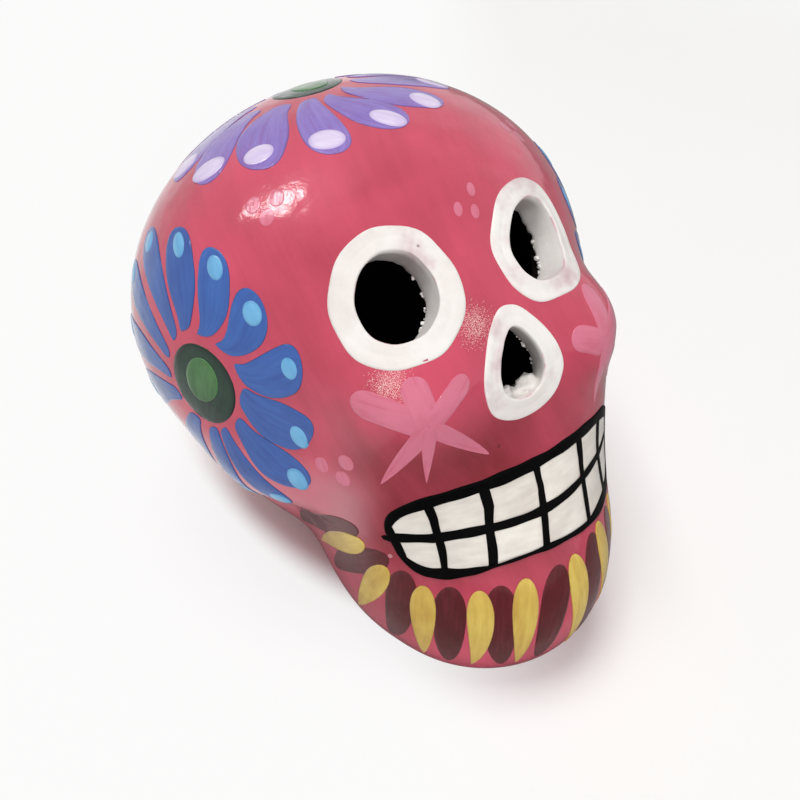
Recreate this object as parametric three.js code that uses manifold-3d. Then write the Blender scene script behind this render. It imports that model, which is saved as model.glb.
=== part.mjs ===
// Hand-painted hollow ceramic skull in the folk style of a sugar skull.
// Millimetres, +Z up, face towards -Y, the skull's own left towards +X, standing on its flat base at Z = 0.
import * as THREE from 'three';
import { mergeVertices } from 'three/addons/utils/BufferGeometryUtils.js';
import Module from 'manifold-3d';

const wasm = await Module();
wasm.setup();

// Clay masses that flow together into the skull. A pair's spread is the distance between its two centres.
const CRANIUM_WIDTH = 102.8;
const CRANIUM_LENGTH = 83.8;
const CRANIUM_HEIGHT = 86.4;
const CRANIUM_SETBACK = 17.5;
const CRANIUM_LEVEL = 60.2;
const FACE_WIDTH = 59.6;
const FACE_DEPTH = 24.4;
const FACE_HEIGHT = 68.4;
const FACE_FORWARD = 27;
const FACE_LEVEL = 46.1;
const FACE_LEAN = 10.4;
const CHEEKBONE_WIDTH = 14.8;
const CHEEKBONE_DEPTH = 19.8;
const CHEEKBONE_HEIGHT = 10.6;
const CHEEKBONE_SPREAD = 39.4;
const CHEEKBONE_FORWARD = 24.2;
const CHEEKBONE_LEVEL = 67.1;
const JAW_ROOT_WIDTH = 30.6;
const JAW_ROOT_DEPTH = 23.4;
const JAW_ROOT_HEIGHT = 14.6;
const JAW_ROOT_SPREAD = 55.6;
const JAW_ROOT_FORWARD = 4.8;
const JAW_ROOT_LEVEL = 44.4;
const JAW_WIDTH = 58.2;
const JAW_LENGTH = 71;
const JAW_HEIGHT = 58.6;
const JAW_FORWARD = 23.6;
const JAW_LEVEL = 18.5;
const NAPE_WIDTH = 62.2;
const NAPE_LENGTH = 48.6;
const NAPE_HEIGHT = 36;
const NAPE_SETBACK = 18.2;
const NAPE_LEVEL = 17.5;
const BLEND = 6;

// Hollow body: two pressed halves with a slip line between them, and a hole in the base.
const WALL = 6;
const FLOOR = 6;
const SEAM_SETBACK = 6;
const SLIP_LINE = 0.3;
const BASE_HOLE_DIAMETER = 22;
const BASE_HOLE_FORWARD = 13;

// White slip collars, each let into a rebate round its hole.
const EYE_SPREAD = 34.4;
const EYE_FORWARD = 19.2;
const EYE_LEVEL = 83.3;
const EYE_RIGHT_HOLE_WIDTH = 15.2;
const EYE_RIGHT_HOLE_HEIGHT = 17.6;
const EYE_LEFT_HOLE_WIDTH = 19.2;
const EYE_LEFT_HOLE_HEIGHT = 15.4;
const EYE_LEFT_TILT = 12;
const EYE_LEFT_RISE = 0.9;
const EYE_RIGHT_BAND = 4.9;
const EYE_LEFT_BAND = 4.1;
const NOSE_OFFSET = 0.8;
const NOSE_FORWARD = 34.6;
const NOSE_LEVEL = 70.9;
const NOSE_HOLE_WIDTH = 9.8;
const NOSE_HOLE_HEIGHT = 14;
const NOSE_BAND = 4.2;
const NOSE_TAPER = 0.34;
const RING_SINK = 1.5;
const RING_PROUD = 0.5;
const RING_GROOVE = 0.15;
const RING_LIP = 0.9;
const RING_EDGE = 0.7;
const COLLAR_DEPTH = 3.8;
const COLLAR_WALL = 1.4;
const SEAT_GAP = 0.3;

// Painted layers, each lying on the body as a thin film.
const PAINT_BED = 0.3;
const PAINT_THICKNESS = 0.4;
const PAINT_GAP = 0.3;

// Mouth: a black grid with two rows of teeth between its lines. Widths run along the curve of the jaw.
const TEETH_PER_ROW = 6;
const TOOTH_WIDTH = 9.5;
const END_TOOTH_WIDTH = 7.8;
const UPPER_ROW_HEIGHT = 8.4;
const LOWER_ROW_HEIGHT = 6.7;
const LOWER_ROW_SAG = 3.4;
const MOUTH_LEVEL = 43.4;
const MOUTH_DROOP = 3;
const MOUTH_END_ROUND = 0.94;
const MOUTH_END_POWER = 6;
const LIP_LINE = 2.5;
const GRID_LINE = 1.9;

// Flowers: a round centre and petals that fan out from it. Each petal is given by the bearing of its root in
// degrees and by its reach from the middle of the flower, and fills the room that its neighbours leave it.
const FLOWER_CENTRE_DIAMETER = 15;
const PETAL_GAP = 1.5;
const PETAL_ROUND_POWER = 9;
const PETAL_TIP_SHARE = 0.97;
const SIDE_FLOWER_SPREAD = 95.4;
const SIDE_FLOWER_SETBACK = 0.6;
const SIDE_FLOWER_LEVEL = 63.2;
const SIDE_FLOWER_SWIRL = 1.6;
const SIDE_PETALS = [
  [-56, 29.5], [-14, 23.5], [26, 22], [65, 21], [88, 22.5], [107, 24.5], [126, 27.5],
  [144, 29], [163, 29], [185, 28], [208, 28], [234, 29], [272, 32],
];
const TOP_FLOWER_OFFSET = 4.5;
const TOP_FLOWER_SETBACK = 31.4;
const TOP_FLOWER_LEVEL = 100.5;
const TOP_FLOWER_SWIRL = 0;
const TOP_PETALS = [
  [-10, 34], [11, 33], [36, 30], [68, 28], [97, 28], [128, 29.5], [158, 31],
  [185, 31], [212, 31], [240, 31], [268, 31], [296, 32], [323, 34],
];

// How finely the surfaces are divided.
const OUTER_DETAIL = 11;
const INNER_DETAIL = 7;
const RING_STEPS = 28;
const PETAL_STEPS = 6;
const TOOTH_COLUMNS = 3;
const TOOTH_ROWS = 2;
const HALVINGS = 44;
const SLOPE_STEP = 0.01;

const UP = new THREE.Vector3(0, 0, 1);
const FRONT = new THREE.Vector3(0, -1, 0);
const REACH = CRANIUM_LENGTH + JAW_LENGTH + CRANIUM_SETBACK + JAW_FORWARD;
const PIERCE_DEPTH = 2 * WALL;

// One clay mass: an ellipsoid, with the lean of its upper end towards the back in degrees.
function mass(x, y, z, width, length, height, lean = 0) {
  const turn = THREE.MathUtils.degToRad(lean);
  return {
    centre: new THREE.Vector3(x, y, z),
    radii: new THREE.Vector3(width / 2, length / 2, height / 2),
    cos: Math.cos(turn),
    sin: Math.sin(turn),
  };
}

function massPair(spread, y, z, width, length, height) {
  return [-1, 1].map((side) => mass(side * spread / 2, y, z, width, length, height));
}

const CRANIUM = mass(0, CRANIUM_SETBACK, CRANIUM_LEVEL, CRANIUM_WIDTH, CRANIUM_LENGTH, CRANIUM_HEIGHT);
const JAW = mass(0, -JAW_FORWARD, JAW_LEVEL, JAW_WIDTH, JAW_LENGTH, JAW_HEIGHT);
const MASSES = [
  CRANIUM,
  mass(0, -FACE_FORWARD, FACE_LEVEL, FACE_WIDTH, FACE_DEPTH, FACE_HEIGHT, FACE_LEAN),
  ...massPair(
    CHEEKBONE_SPREAD, -CHEEKBONE_FORWARD, CHEEKBONE_LEVEL, CHEEKBONE_WIDTH, CHEEKBONE_DEPTH, CHEEKBONE_HEIGHT,
  ),
  ...massPair(
    JAW_ROOT_SPREAD, -JAW_ROOT_FORWARD, JAW_ROOT_LEVEL, JAW_ROOT_WIDTH, JAW_ROOT_DEPTH, JAW_ROOT_HEIGHT,
  ),
  JAW,
  mass(0, NAPE_SETBACK, NAPE_LEVEL, NAPE_WIDTH, NAPE_LENGTH, NAPE_HEIGHT),
];

// Middle of the hollow, from which every outer point can be seen.
const CORE = CRANIUM.centre.clone().lerp(JAW.centre, 0.5);

// About how far a point lies outside one mass, negative inside it.
function outsideMass(shape, point) {
  const x = (point.x - shape.centre.x) / shape.radii.x;
  const dy = point.y - shape.centre.y;
  const dz = point.z - shape.centre.z;
  const y = (shape.cos * dy - shape.sin * dz) / shape.radii.y;
  const z = (shape.sin * dy + shape.cos * dz) / shape.radii.z;
  const share = Math.hypot(x, y, z);
  const slope = Math.hypot(x / shape.radii.x, y / shape.radii.y, z / shape.radii.z);
  return share * (share - 1) / Math.max(slope, Number.EPSILON);
}

// About how far a point lies outside the blended skull, negative inside it.
function outsideSkull(point) {
  const distances = MASSES.map((shape) => outsideMass(shape, point));
  const nearest = Math.min(...distances);
  const sum = distances.reduce((total, value) => total + Math.exp((nearest - value) / BLEND), 0);
  return nearest - BLEND * Math.log(sum);
}

// The point where a ray from inside the skull passes a given distance outside its surface.
function leave(start, way, distance = 0) {
  const point = new THREE.Vector3();
  let inside = 0;
  let outside = REACH;
  for (let step = 0; step < HALVINGS; step += 1) {
    const middle = (inside + outside) / 2;
    point.copy(start).addScaledVector(way, middle);
    if (outsideSkull(point) < distance) {
      inside = middle;
    } else {
      outside = middle;
    }
  }
  return point.copy(start).addScaledVector(way, inside);
}

// Outward direction of the skull's surface at a point.
function outwardAt(point) {
  const slope = (axis) => {
    const ahead = point.clone();
    const behind = point.clone();
    ahead[axis] += SLOPE_STEP;
    behind[axis] -= SLOPE_STEP;
    return outsideSkull(ahead) - outsideSkull(behind);
  };
  return new THREE.Vector3(slope('x'), slope('y'), slope('z')).normalize();
}

function surfaceNear(guide) {
  return leave(CORE, guide.clone().sub(CORE).normalize());
}

function raised(point, height) {
  return point.addScaledVector(outwardAt(point), height);
}

// A map round a hole: across and up from the hole's middle, with heights along the hole's own axis.
function holeMap(guide) {
  const middle = surfaceNear(guide);
  const axis = outwardAt(middle);
  const across = UP.clone().cross(axis).normalize();
  const up = axis.clone().cross(across);
  const deep = middle.clone().addScaledVector(axis, -PIERCE_DEPTH - WALL);
  return (u, v, height) => {
    const start = deep.clone().addScaledVector(across, u).addScaledVector(up, v);
    return leave(start, axis).addScaledVector(axis, height);
  };
}

// A map round a flower: bearing in radians and distance from its middle, with heights above the surface.
function flowerMap(guide, upward) {
  const middle = surfaceNear(guide);
  const way = middle.clone().sub(CORE);
  const radius = way.length();
  way.normalize();
  const across = upward.clone().cross(way).normalize();
  const up = way.clone().cross(across);
  return (bearing, distance, height) => {
    const turn = distance / radius;
    const ray = way.clone().multiplyScalar(Math.cos(turn));
    ray.addScaledVector(across, Math.sin(turn) * Math.cos(bearing));
    ray.addScaledVector(up, Math.sin(turn) * Math.sin(bearing));
    return raised(leave(CORE, ray), height);
  };
}

const TOOTH_WIDTHS = Array.from({ length: TEETH_PER_ROW }, (_, column) => {
  return column === 0 || column === TEETH_PER_ROW - 1 ? END_TOOTH_WIDTH : TOOTH_WIDTH;
});
const TEETH_WIDTH = TOOTH_WIDTHS.reduce((total, width) => total + width, (TEETH_PER_ROW - 1) * GRID_LINE);
const MOUTH_HALF_WIDTH = TEETH_WIDTH / 2 + LIP_LINE;

// A map of the mouth: along the curve of the jaw and up from the line between the rows of teeth.
function mouthPoint(along, up, height) {
  const droop = MOUTH_DROOP * (along / MOUTH_HALF_WIDTH) ** 2;
  const start = new THREE.Vector3(0, CORE.y, MOUTH_LEVEL - droop + up);
  const turn = along / leave(start, FRONT).distanceTo(start);
  const way = new THREE.Vector3(Math.sin(turn), -Math.cos(turn), 0);
  return raised(leave(start, way), height);
}

// Height of a row of teeth with its line. Side is 1 in the upper row and -1 in the lower, which sags to its ends.
function rowHeight(along, side) {
  const share = Math.abs(along) / MOUTH_HALF_WIDTH;
  const sag = LOWER_ROW_SAG * (1 - Math.cos(Math.PI * share)) / 2;
  const full = side > 0 ? UPPER_ROW_HEIGHT : LOWER_ROW_HEIGHT + sag;
  return full * Math.sqrt(1 - MOUTH_END_ROUND * share ** MOUTH_END_POWER);
}

// Geometry from points and triangles, turned so that its faces point outwards.
function closedGeometry(points, triangles) {
  const volume = triangles.reduce((total, [a, b, c]) => {
    const cross = points[b].clone().cross(points[c]);
    return total + points[a].dot(cross);
  }, 0);
  const index = triangles.flatMap(([a, b, c]) => (volume > 0 ? [a, b, c] : [a, c, b]));
  const geometry = new THREE.BufferGeometry();
  geometry.setAttribute('position', new THREE.Float32BufferAttribute(points.flatMap((p) => p.toArray()), 3));
  geometry.setIndex(index);
  return geometry;
}

// A solid sheet over a grid of cells: a lower and an upper skin, with a wall wherever a filled cell has no neighbour.
function sheetSolid(columns, rows, filled, place) {
  const points = [];
  const numbers = new Map();
  const triangles = [];
  const corner = (i, j, skin) => {
    const key = `${i} ${j} ${skin}`;
    if (!numbers.has(key)) {
      numbers.set(key, points.length);
      points.push(place(i, j, skin));
    }
    return numbers.get(key);
  };
  const quad = (a, b, c, d) => triangles.push([a, b, c], [a, c, d]);
  const present = (i, j) => i >= 0 && i < columns && j >= 0 && j < rows && filled(i, j);
  for (let i = 0; i < columns; i += 1) {
    for (let j = 0; j < rows; j += 1) {
      if (!present(i, j)) {
        continue;
      }
      const ring = [[i, j], [i + 1, j], [i + 1, j + 1], [i, j + 1]];
      const neighbours = [[i, j - 1], [i + 1, j], [i, j + 1], [i - 1, j]];
      const low = ring.map(([a, b]) => corner(a, b, 0));
      const high = ring.map(([a, b]) => corner(a, b, 1));
      quad(...high);
      quad(low[3], low[2], low[1], low[0]);
      neighbours.forEach(([a, b], side) => {
        const next = (side + 1) % ring.length;
        if (!present(a, b)) {
          quad(low[side], low[next], high[next], high[side]);
        }
      });
    }
  }
  return closedGeometry(points, triangles);
}

// A solid through a row of loops with equal point counts, closed by a tip at each end or, with no tips, on itself.
function loopSolid(loops, tips = []) {
  const points = loops.flat();
  const steps = loops[0].length;
  const triangles = [];
  const joins = tips.length ? loops.length - 1 : loops.length;
  for (let loop = 0; loop < joins; loop += 1) {
    const here = loop * steps;
    const there = (loop + 1) % loops.length * steps;
    for (let step = 0; step < steps; step += 1) {
      const next = (step + 1) % steps;
      triangles.push([here + step, here + next, there + next], [here + step, there + next, there + step]);
    }
  }
  tips.forEach((tip, end) => {
    const first = end * (loops.length - 1) * steps;
    points.push(tip);
    for (let step = 0; step < steps; step += 1) {
      const next = (step + 1) % steps;
      const [a, b] = end ? [step, next] : [next, step];
      triangles.push([first + a, first + b, points.length - 1]);
    }
  });
  return closedGeometry(points, triangles);
}

function solidOf(geometry) {
  return new wasm.Manifold(new wasm.Mesh({
    numProp: 3,
    vertProperties: new Float32Array(geometry.getAttribute('position').array),
    triVerts: new Uint32Array(geometry.getIndex().array),
  }));
}

function geometryOf(solid) {
  const mesh = solid.getMesh();
  const geometry = new THREE.BufferGeometry();
  geometry.setAttribute('position', new THREE.BufferAttribute(mesh.vertProperties, 3));
  geometry.setIndex(new THREE.BufferAttribute(mesh.triVerts, 1));
  return geometry;
}

function bare(geometry) {
  geometry.deleteAttribute('normal');
  geometry.deleteAttribute('uv');
  return mergeVertices(geometry);
}

// A block from a low to a high corner.
function block(low, high) {
  const size = high.clone().sub(low);
  const box = new THREE.BoxGeometry(size.x, size.y, size.z);
  box.translate(...low.clone().add(high).divideScalar(2).toArray());
  return solidOf(bare(box));
}

// Everything within a distance of the skull's surface, measured outwards.
function skullWithin(distance, detail) {
  const ball = bare(new THREE.IcosahedronGeometry(1, detail));
  const place = ball.getAttribute('position');
  const way = new THREE.Vector3();
  for (let i = 0; i < place.count; i += 1) {
    way.fromBufferAttribute(place, i).normalize();
    place.setXYZ(i, ...leave(CORE, way, distance).toArray());
  }
  return solidOf(ball);
}

// An egg-shaped outline a distance outside a hole, narrower at the top by its taper and turned by its tilt in degrees.
function eggLoop(opening, out, rise) {
  const { map, width, height, taper, tilt } = opening;
  const middle = new THREE.Vector2();
  return Array.from({ length: RING_STEPS }, (_, step) => {
    const turn = 2 * Math.PI * step / RING_STEPS;
    const u = (width / 2 + out) * Math.cos(turn) * (1 - taper * Math.sin(turn));
    const v = (height / 2 + out) * Math.sin(turn);
    const place = new THREE.Vector2(u, v).rotateAround(middle, THREE.MathUtils.degToRad(tilt));
    return map(place.x, place.y, rise);
  });
}

// A collar: a flange let into the surface, with a groove and a raised lip, and a sleeve that lines the hole.
function collar(opening) {
  const { band } = opening;
  const profile = [
    [band, -RING_SINK],
    [band, RING_PROUD / 2],
    [band - RING_EDGE, RING_PROUD],
    [band / 2, RING_GROOVE],
    [RING_EDGE, RING_LIP],
    [0, RING_LIP / 2],
    [0, -COLLAR_DEPTH],
    [COLLAR_WALL, -COLLAR_DEPTH],
    [COLLAR_WALL, -RING_SINK],
  ];
  return loopSolid(profile.map(([out, rise]) => eggLoop(opening, out, rise)));
}

// What is taken out of the wall for a collar: its rebate, the room for its sleeve and the hole to the inside.
function collarRoom(opening) {
  const { map, band } = opening;
  const profile = [
    [band + SEAT_GAP, WALL],
    [band + SEAT_GAP, -RING_SINK - SEAT_GAP],
    [COLLAR_WALL + SEAT_GAP, -RING_SINK - SEAT_GAP],
    [COLLAR_WALL + SEAT_GAP, -COLLAR_DEPTH - SEAT_GAP],
    [0, -COLLAR_DEPTH - SEAT_GAP],
    [0, -PIERCE_DEPTH],
  ];
  const loops = profile.map(([out, rise]) => eggLoop(opening, out, rise));
  return solidOf(loopSolid(loops, [map(0, 0, WALL), map(0, 0, -PIERCE_DEPTH)]));
}

const OPENINGS = [
  {
    name: 'eye_ring_right',
    map: holeMap(new THREE.Vector3(-EYE_SPREAD / 2, -EYE_FORWARD, EYE_LEVEL)),
    width: EYE_RIGHT_HOLE_WIDTH,
    height: EYE_RIGHT_HOLE_HEIGHT,
    taper: 0,
    tilt: 0,
    band: EYE_RIGHT_BAND,
  },
  {
    name: 'eye_ring_left',
    map: holeMap(new THREE.Vector3(EYE_SPREAD / 2, -EYE_FORWARD, EYE_LEVEL + EYE_LEFT_RISE)),
    width: EYE_LEFT_HOLE_WIDTH,
    height: EYE_LEFT_HOLE_HEIGHT,
    taper: 0,
    tilt: EYE_LEFT_TILT,
    band: EYE_LEFT_BAND,
  },
  {
    name: 'nose_ring',
    map: holeMap(new THREE.Vector3(NOSE_OFFSET, -NOSE_FORWARD, NOSE_LEVEL)),
    width: NOSE_HOLE_WIDTH,
    height: NOSE_HOLE_HEIGHT,
    taper: NOSE_TAPER,
    tilt: 0,
    band: NOSE_BAND,
  },
];

// The hollow body, cut flat at the base and pierced for the collars and the base hole.
function hollowBody() {
  const far = new THREE.Vector3(REACH, REACH, REACH);
  const aboveBase = block(new THREE.Vector3(-REACH, -REACH, 0), far);
  const aboveFloor = block(new THREE.Vector3(-REACH, -REACH, FLOOR), far);
  const radius = BASE_HOLE_DIAMETER / 2;
  const drill = new THREE.CylinderGeometry(radius, radius, 2 * (FLOOR + WALL), RING_STEPS);
  drill.rotateX(Math.PI / 2);
  drill.translate(0, -BASE_HOLE_FORWARD, 0);
  const hollow = skullWithin(-WALL, INNER_DETAIL).intersect(aboveFloor);
  const body = skullWithin(0, OUTER_DETAIL).intersect(aboveBase).subtract(hollow).subtract(solidOf(bare(drill)));
  return OPENINGS.reduce((rest, opening) => rest.subtract(collarRoom(opening)), body);
}

function bodyHalves() {
  const body = hollowBody();
  const front = SEAM_SETBACK - SLIP_LINE / 2;
  const back = SEAM_SETBACK + SLIP_LINE / 2;
  const beforeSeam = block(new THREE.Vector3(-REACH, -REACH, -REACH), new THREE.Vector3(REACH, front, REACH));
  const behindSeam = block(new THREE.Vector3(-REACH, back, -REACH), new THREE.Vector3(REACH, REACH, REACH));
  return {
    face_half: geometryOf(body.intersect(beforeSeam)),
    cranium_half: geometryOf(body.intersect(behindSeam)),
  };
}

const FILM = [PAINT_BED, PAINT_BED + PAINT_THICKNESS];

// Left edge of a tooth space along the mouth, counted from the skull's right.
function toothStart(column) {
  return TOOTH_WIDTHS.slice(0, column).reduce((along, width) => along + width + GRID_LINE, -TEETH_WIDTH / 2);
}

// Heights at one place along the mouth between which the lines and the tooth spaces lie, from the bottom up.
function mouthLevels(along) {
  const levels = (side) => {
    const height = rowHeight(along, side);
    const inner = Array.from({ length: TOOTH_ROWS + 1 }, (_, row) => {
      return THREE.MathUtils.lerp(GRID_LINE / 2, height - LIP_LINE, row / TOOTH_ROWS);
    });
    return [...inner, height].map((level) => side * level);
  };
  return [...levels(-1).reverse(), ...levels(1)];
}

function mouthLine() {
  const edges = [-MOUTH_HALF_WIDTH];
  const open = [false];
  for (let column = 0; column < TEETH_PER_ROW; column += 1) {
    for (let step = 0; step <= TOOTH_COLUMNS; step += 1) {
      edges.push(toothStart(column) + TOOTH_WIDTHS[column] * step / TOOTH_COLUMNS);
      open.push(step < TOOTH_COLUMNS);
    }
  }
  edges.push(MOUTH_HALF_WIDTH);
  const rows = 2 * TOOTH_ROWS + 3;
  const isToothRow = (row) => row !== 0 && row !== TOOTH_ROWS + 1 && row !== rows - 1;
  return sheetSolid(edges.length - 1, rows, (i, j) => !(open[i] && isToothRow(j)), (i, j, skin) => {
    return mouthPoint(edges[i], mouthLevels(edges[i])[j], FILM[skin]);
  });
}

// One tooth, in its space between the lines. Side is 1 in the upper row and -1 in the lower.
function tooth(column, side) {
  const start = toothStart(column) + PAINT_GAP;
  const width = TOOTH_WIDTHS[column] - 2 * PAINT_GAP;
  return sheetSolid(TOOTH_COLUMNS, TOOTH_ROWS, () => true, (i, j, skin) => {
    const along = start + width * i / TOOTH_COLUMNS;
    const root = rowHeight(along, side) - LIP_LINE - PAINT_GAP;
    const bite = GRID_LINE / 2 + PAINT_GAP;
    return mouthPoint(along, side * THREE.MathUtils.lerp(bite, root, j / TOOTH_ROWS), FILM[skin]);
  });
}

function flowerCentre(map) {
  const radius = FLOWER_CENTRE_DIAMETER / 2;
  const loop = (distance, height) => Array.from({ length: RING_STEPS }, (_, step) => {
    return map(2 * Math.PI * step / RING_STEPS, distance, height);
  });
  const [low, high] = FILM;
  const loops = [loop(radius / 2, low), loop(radius, low), loop(radius, high), loop(radius / 2, high)];
  return loopSolid(loops, [map(0, 0, low), map(0, 0, high)]);
}

// One petal: a narrow root beside the centre, room for its width from its neighbours, and a round end.
function petal(map, petals, swirl, number) {
  const [root, reach] = petals[number];
  const turn = 360;
  const before = number ? petals[number - 1][0] : petals.at(-1)[0] - turn;
  const after = number + 1 < petals.length ? petals[number + 1][0] : petals[0][0] + turn;
  const start = FLOWER_CENTRE_DIAMETER / 2 + PETAL_GAP;
  return sheetSolid(PETAL_STEPS, 2, () => true, (i, j, skin) => {
    const share = Math.sin(Math.PI / 2 * PETAL_TIP_SHARE * i / PETAL_STEPS);
    const distance = THREE.MathUtils.lerp(start, reach, share);
    const side = j - 1;
    const room = THREE.MathUtils.degToRad(side < 0 ? root - before : after - root) / 2;
    const roundness = Math.sqrt(1 - share ** PETAL_ROUND_POWER);
    const half = (room - PETAL_GAP / 2 / distance) * roundness;
    const spine = THREE.MathUtils.degToRad(root + swirl * (distance - start));
    return map(spine + side * half, distance, FILM[skin]);
  });
}

const TERRACOTTA_PINK = { color: 0xd2566e, roughness: 0.22, metalness: 0 };
const SLIP_WHITE = { color: 0xeae2de, roughness: 0.55, metalness: 0 };
const LINE_BLACK = { color: 0x0c0b0c, roughness: 0.25, metalness: 0 };
const TOOTH_WHITE = { color: 0xdbd3c9, roughness: 0.3, metalness: 0 };
const PETAL_BLUE = { color: 0x4058a0, roughness: 0.25, metalness: 0 };
const PETAL_PURPLE = { color: 0x8c78c0, roughness: 0.25, metalness: 0 };
const CENTRE_GREEN = { color: 0x1c4630, roughness: 0.25, metalness: 0 };

const skull = new THREE.Group();

function addPiece(name, geometry, finish) {
  const piece = new THREE.Mesh(geometry, new THREE.MeshStandardMaterial(finish));
  piece.name = name;
  skull.add(piece);
}

function twoDigits(number) {
  return String(number).padStart(2, '0');
}

for (const [name, geometry] of Object.entries(bodyHalves())) {
  addPiece(name, geometry, TERRACOTTA_PINK);
}
for (const opening of OPENINGS) {
  addPiece(opening.name, collar(opening), SLIP_WHITE);
}
addPiece('mouth_line', mouthLine(), LINE_BLACK);
for (let column = 0; column < TEETH_PER_ROW; column += 1) {
  addPiece(`tooth_upper_${column + 1}`, tooth(column, 1), TOOTH_WHITE);
  addPiece(`tooth_lower_${column + 1}`, tooth(column, -1), TOOTH_WHITE);
}

const rightMap = flowerMap(new THREE.Vector3(-SIDE_FLOWER_SPREAD / 2, SIDE_FLOWER_SETBACK, SIDE_FLOWER_LEVEL), UP);
const mirrored = new THREE.Vector3(-1, 1, 1);
const leftMap = (bearing, distance, height) => rightMap(bearing, distance, height).multiply(mirrored);
const topMap = flowerMap(new THREE.Vector3(-TOP_FLOWER_OFFSET, TOP_FLOWER_SETBACK, TOP_FLOWER_LEVEL), FRONT);
const FLOWERS = [
  { place: 'right', map: rightMap, petals: SIDE_PETALS, swirl: SIDE_FLOWER_SWIRL, paint: PETAL_BLUE },
  { place: 'left', map: leftMap, petals: SIDE_PETALS, swirl: SIDE_FLOWER_SWIRL, paint: PETAL_BLUE },
  { place: 'top', map: topMap, petals: TOP_PETALS, swirl: TOP_FLOWER_SWIRL, paint: PETAL_PURPLE },
];
for (const { place, map, petals, swirl, paint } of FLOWERS) {
  addPiece(`flower_centre_${place}`, flowerCentre(map), CENTRE_GREEN);
  petals.forEach((_, number) => {
    addPiece(`petal_${place}_${twoDigits(number + 1)}`, petal(map, petals, swirl, number), paint);
  });
}

export default skull;
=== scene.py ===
"""Hand-painted hollow ceramic skull: its looks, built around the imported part.

Shapes are worked out in millimetres in the part's own frame and turned into metres when a mesh is made.
"""

import enum
import logging
import math
from collections.abc import Callable, Sequence
from dataclasses import dataclass
from functools import partial, reduce

import bpy
import numpy as np
from mathutils import Matrix, Vector


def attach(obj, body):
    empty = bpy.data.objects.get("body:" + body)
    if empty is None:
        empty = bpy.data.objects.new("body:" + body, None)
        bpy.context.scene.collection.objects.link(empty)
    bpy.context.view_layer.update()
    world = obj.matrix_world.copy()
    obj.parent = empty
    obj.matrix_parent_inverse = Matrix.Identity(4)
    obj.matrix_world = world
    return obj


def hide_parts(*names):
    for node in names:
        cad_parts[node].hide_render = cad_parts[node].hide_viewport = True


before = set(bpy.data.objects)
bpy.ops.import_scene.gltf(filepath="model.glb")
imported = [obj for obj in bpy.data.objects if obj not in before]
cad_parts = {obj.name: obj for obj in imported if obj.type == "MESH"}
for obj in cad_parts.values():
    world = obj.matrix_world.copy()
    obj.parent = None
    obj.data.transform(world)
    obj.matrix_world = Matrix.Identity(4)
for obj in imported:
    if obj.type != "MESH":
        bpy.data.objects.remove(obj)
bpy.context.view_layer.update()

Array = np.ndarray
Surface = Callable[[Array], Array]
Point = tuple[float, float, float]
Colour = tuple[int, int, int]
Socket = bpy.types.NodeSocket
Tree = bpy.types.NodeTree
Node = bpy.types.Node
Piece = bpy.types.Object
Paint = bpy.types.Material

LOG = logging.getLogger("painted_skull")
MM = 0.001
UP = np.array([0.0, 0.0, 1.0])
FRONT = np.array([0.0, -1.0, 0.0])
HALVINGS = 11
REFINEMENTS = 6
PHASE = 6.28
STROKE_UNIT = 10.0
WHITE = (1.0, 1.0, 1.0, 1.0)
BLACK = (0.0, 0.0, 0.0, 1.0)


class Side(enum.Enum):
    """A side of the skull, by the sign of its X."""

    RIGHT = -1
    LEFT = 1


class Half(enum.Enum):
    """One of the two pressed halves of the body."""

    FACE = "face_half"
    CRANIUM = "cranium_half"


class Row(enum.Enum):
    """A row of teeth, by its way up or down from the biting line."""

    UPPER = 1
    LOWER = -1


def unit(vectors: Array) -> Array:
    """Vectors of length one along the given ones."""
    return vectors / np.maximum(np.linalg.norm(vectors, axis=-1, keepdims=True), 1e-12)


def row_dots(first: Array, second: Array) -> Array:
    """The dot product of each row with the same row of another array."""
    return np.einsum("ij,ij->i", first, second)


def circle(count: int) -> Array:
    """Angles evenly spaced round a circle."""
    return np.linspace(0, 2 * math.pi, count, endpoint=False)


def eased(count: int) -> Array:
    """Steps from -1 to 1, closer together at the ends."""
    return np.sin(np.linspace(-math.pi / 2, math.pi / 2, count))


def run_along(points: Array) -> Array:
    """Distances along a line of points, from its first."""
    return np.concatenate([[0], np.cumsum(np.linalg.norm(np.diff(points, axis=0), axis=1))])


def leave(surface: Surface, starts: Array, ways: Array, reach: float = 230.0) -> Array:
    """Finds where rays from inside a surface pass out of it.

    Args:
        surface: Gives how far points lie outside, negative inside.
        starts: One start or one for each ray.
        ways: Directions of length one, a row for each ray.
        reach: A length at which every ray is outside.

    Returns:
        The points on the surface, a row for each ray.
    """
    ways = np.atleast_2d(ways)
    starts = np.broadcast_to(starts, ways.shape)
    low, high = np.zeros(len(ways)), np.full(len(ways), reach)
    for _ in range(HALVINGS):
        middle = (low + high) / 2
        inside = surface(starts + ways * middle[:, None]) < 0
        low, high = np.where(inside, middle, low), np.where(inside, high, middle)
    below = surface(starts + ways * low[:, None])
    above = surface(starts + ways * high[:, None])
    middle = low
    for _ in range(REFINEMENTS):
        middle = (low * above - high * below) / np.maximum(above - below, 1e-12)
        value = surface(starts + ways * middle[:, None])
        inside = value < 0
        above = np.where(inside, above / 2, value)
        below = np.where(inside, value, below / 2)
        low, high = np.where(inside, middle, low), np.where(inside, high, middle)
    return starts + ways * middle[:, None]


def outward(surface: Surface, points: Array, step: float = 0.02) -> Array:
    """The outward directions of a surface at points near it, from its slope over a small step."""
    slopes = [surface(points + axis) - surface(points - axis) for axis in np.eye(3) * step]
    return unit(np.stack(slopes, axis=-1))


def smooth_most(first: Array, second: Array, blend: float) -> Array:
    """The greater of two distances, rounded over a blend where they are near each other."""
    most = np.maximum(first, second)
    return most + blend * np.log(np.exp((first - most) / blend) + np.exp((second - most) / blend))


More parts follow.
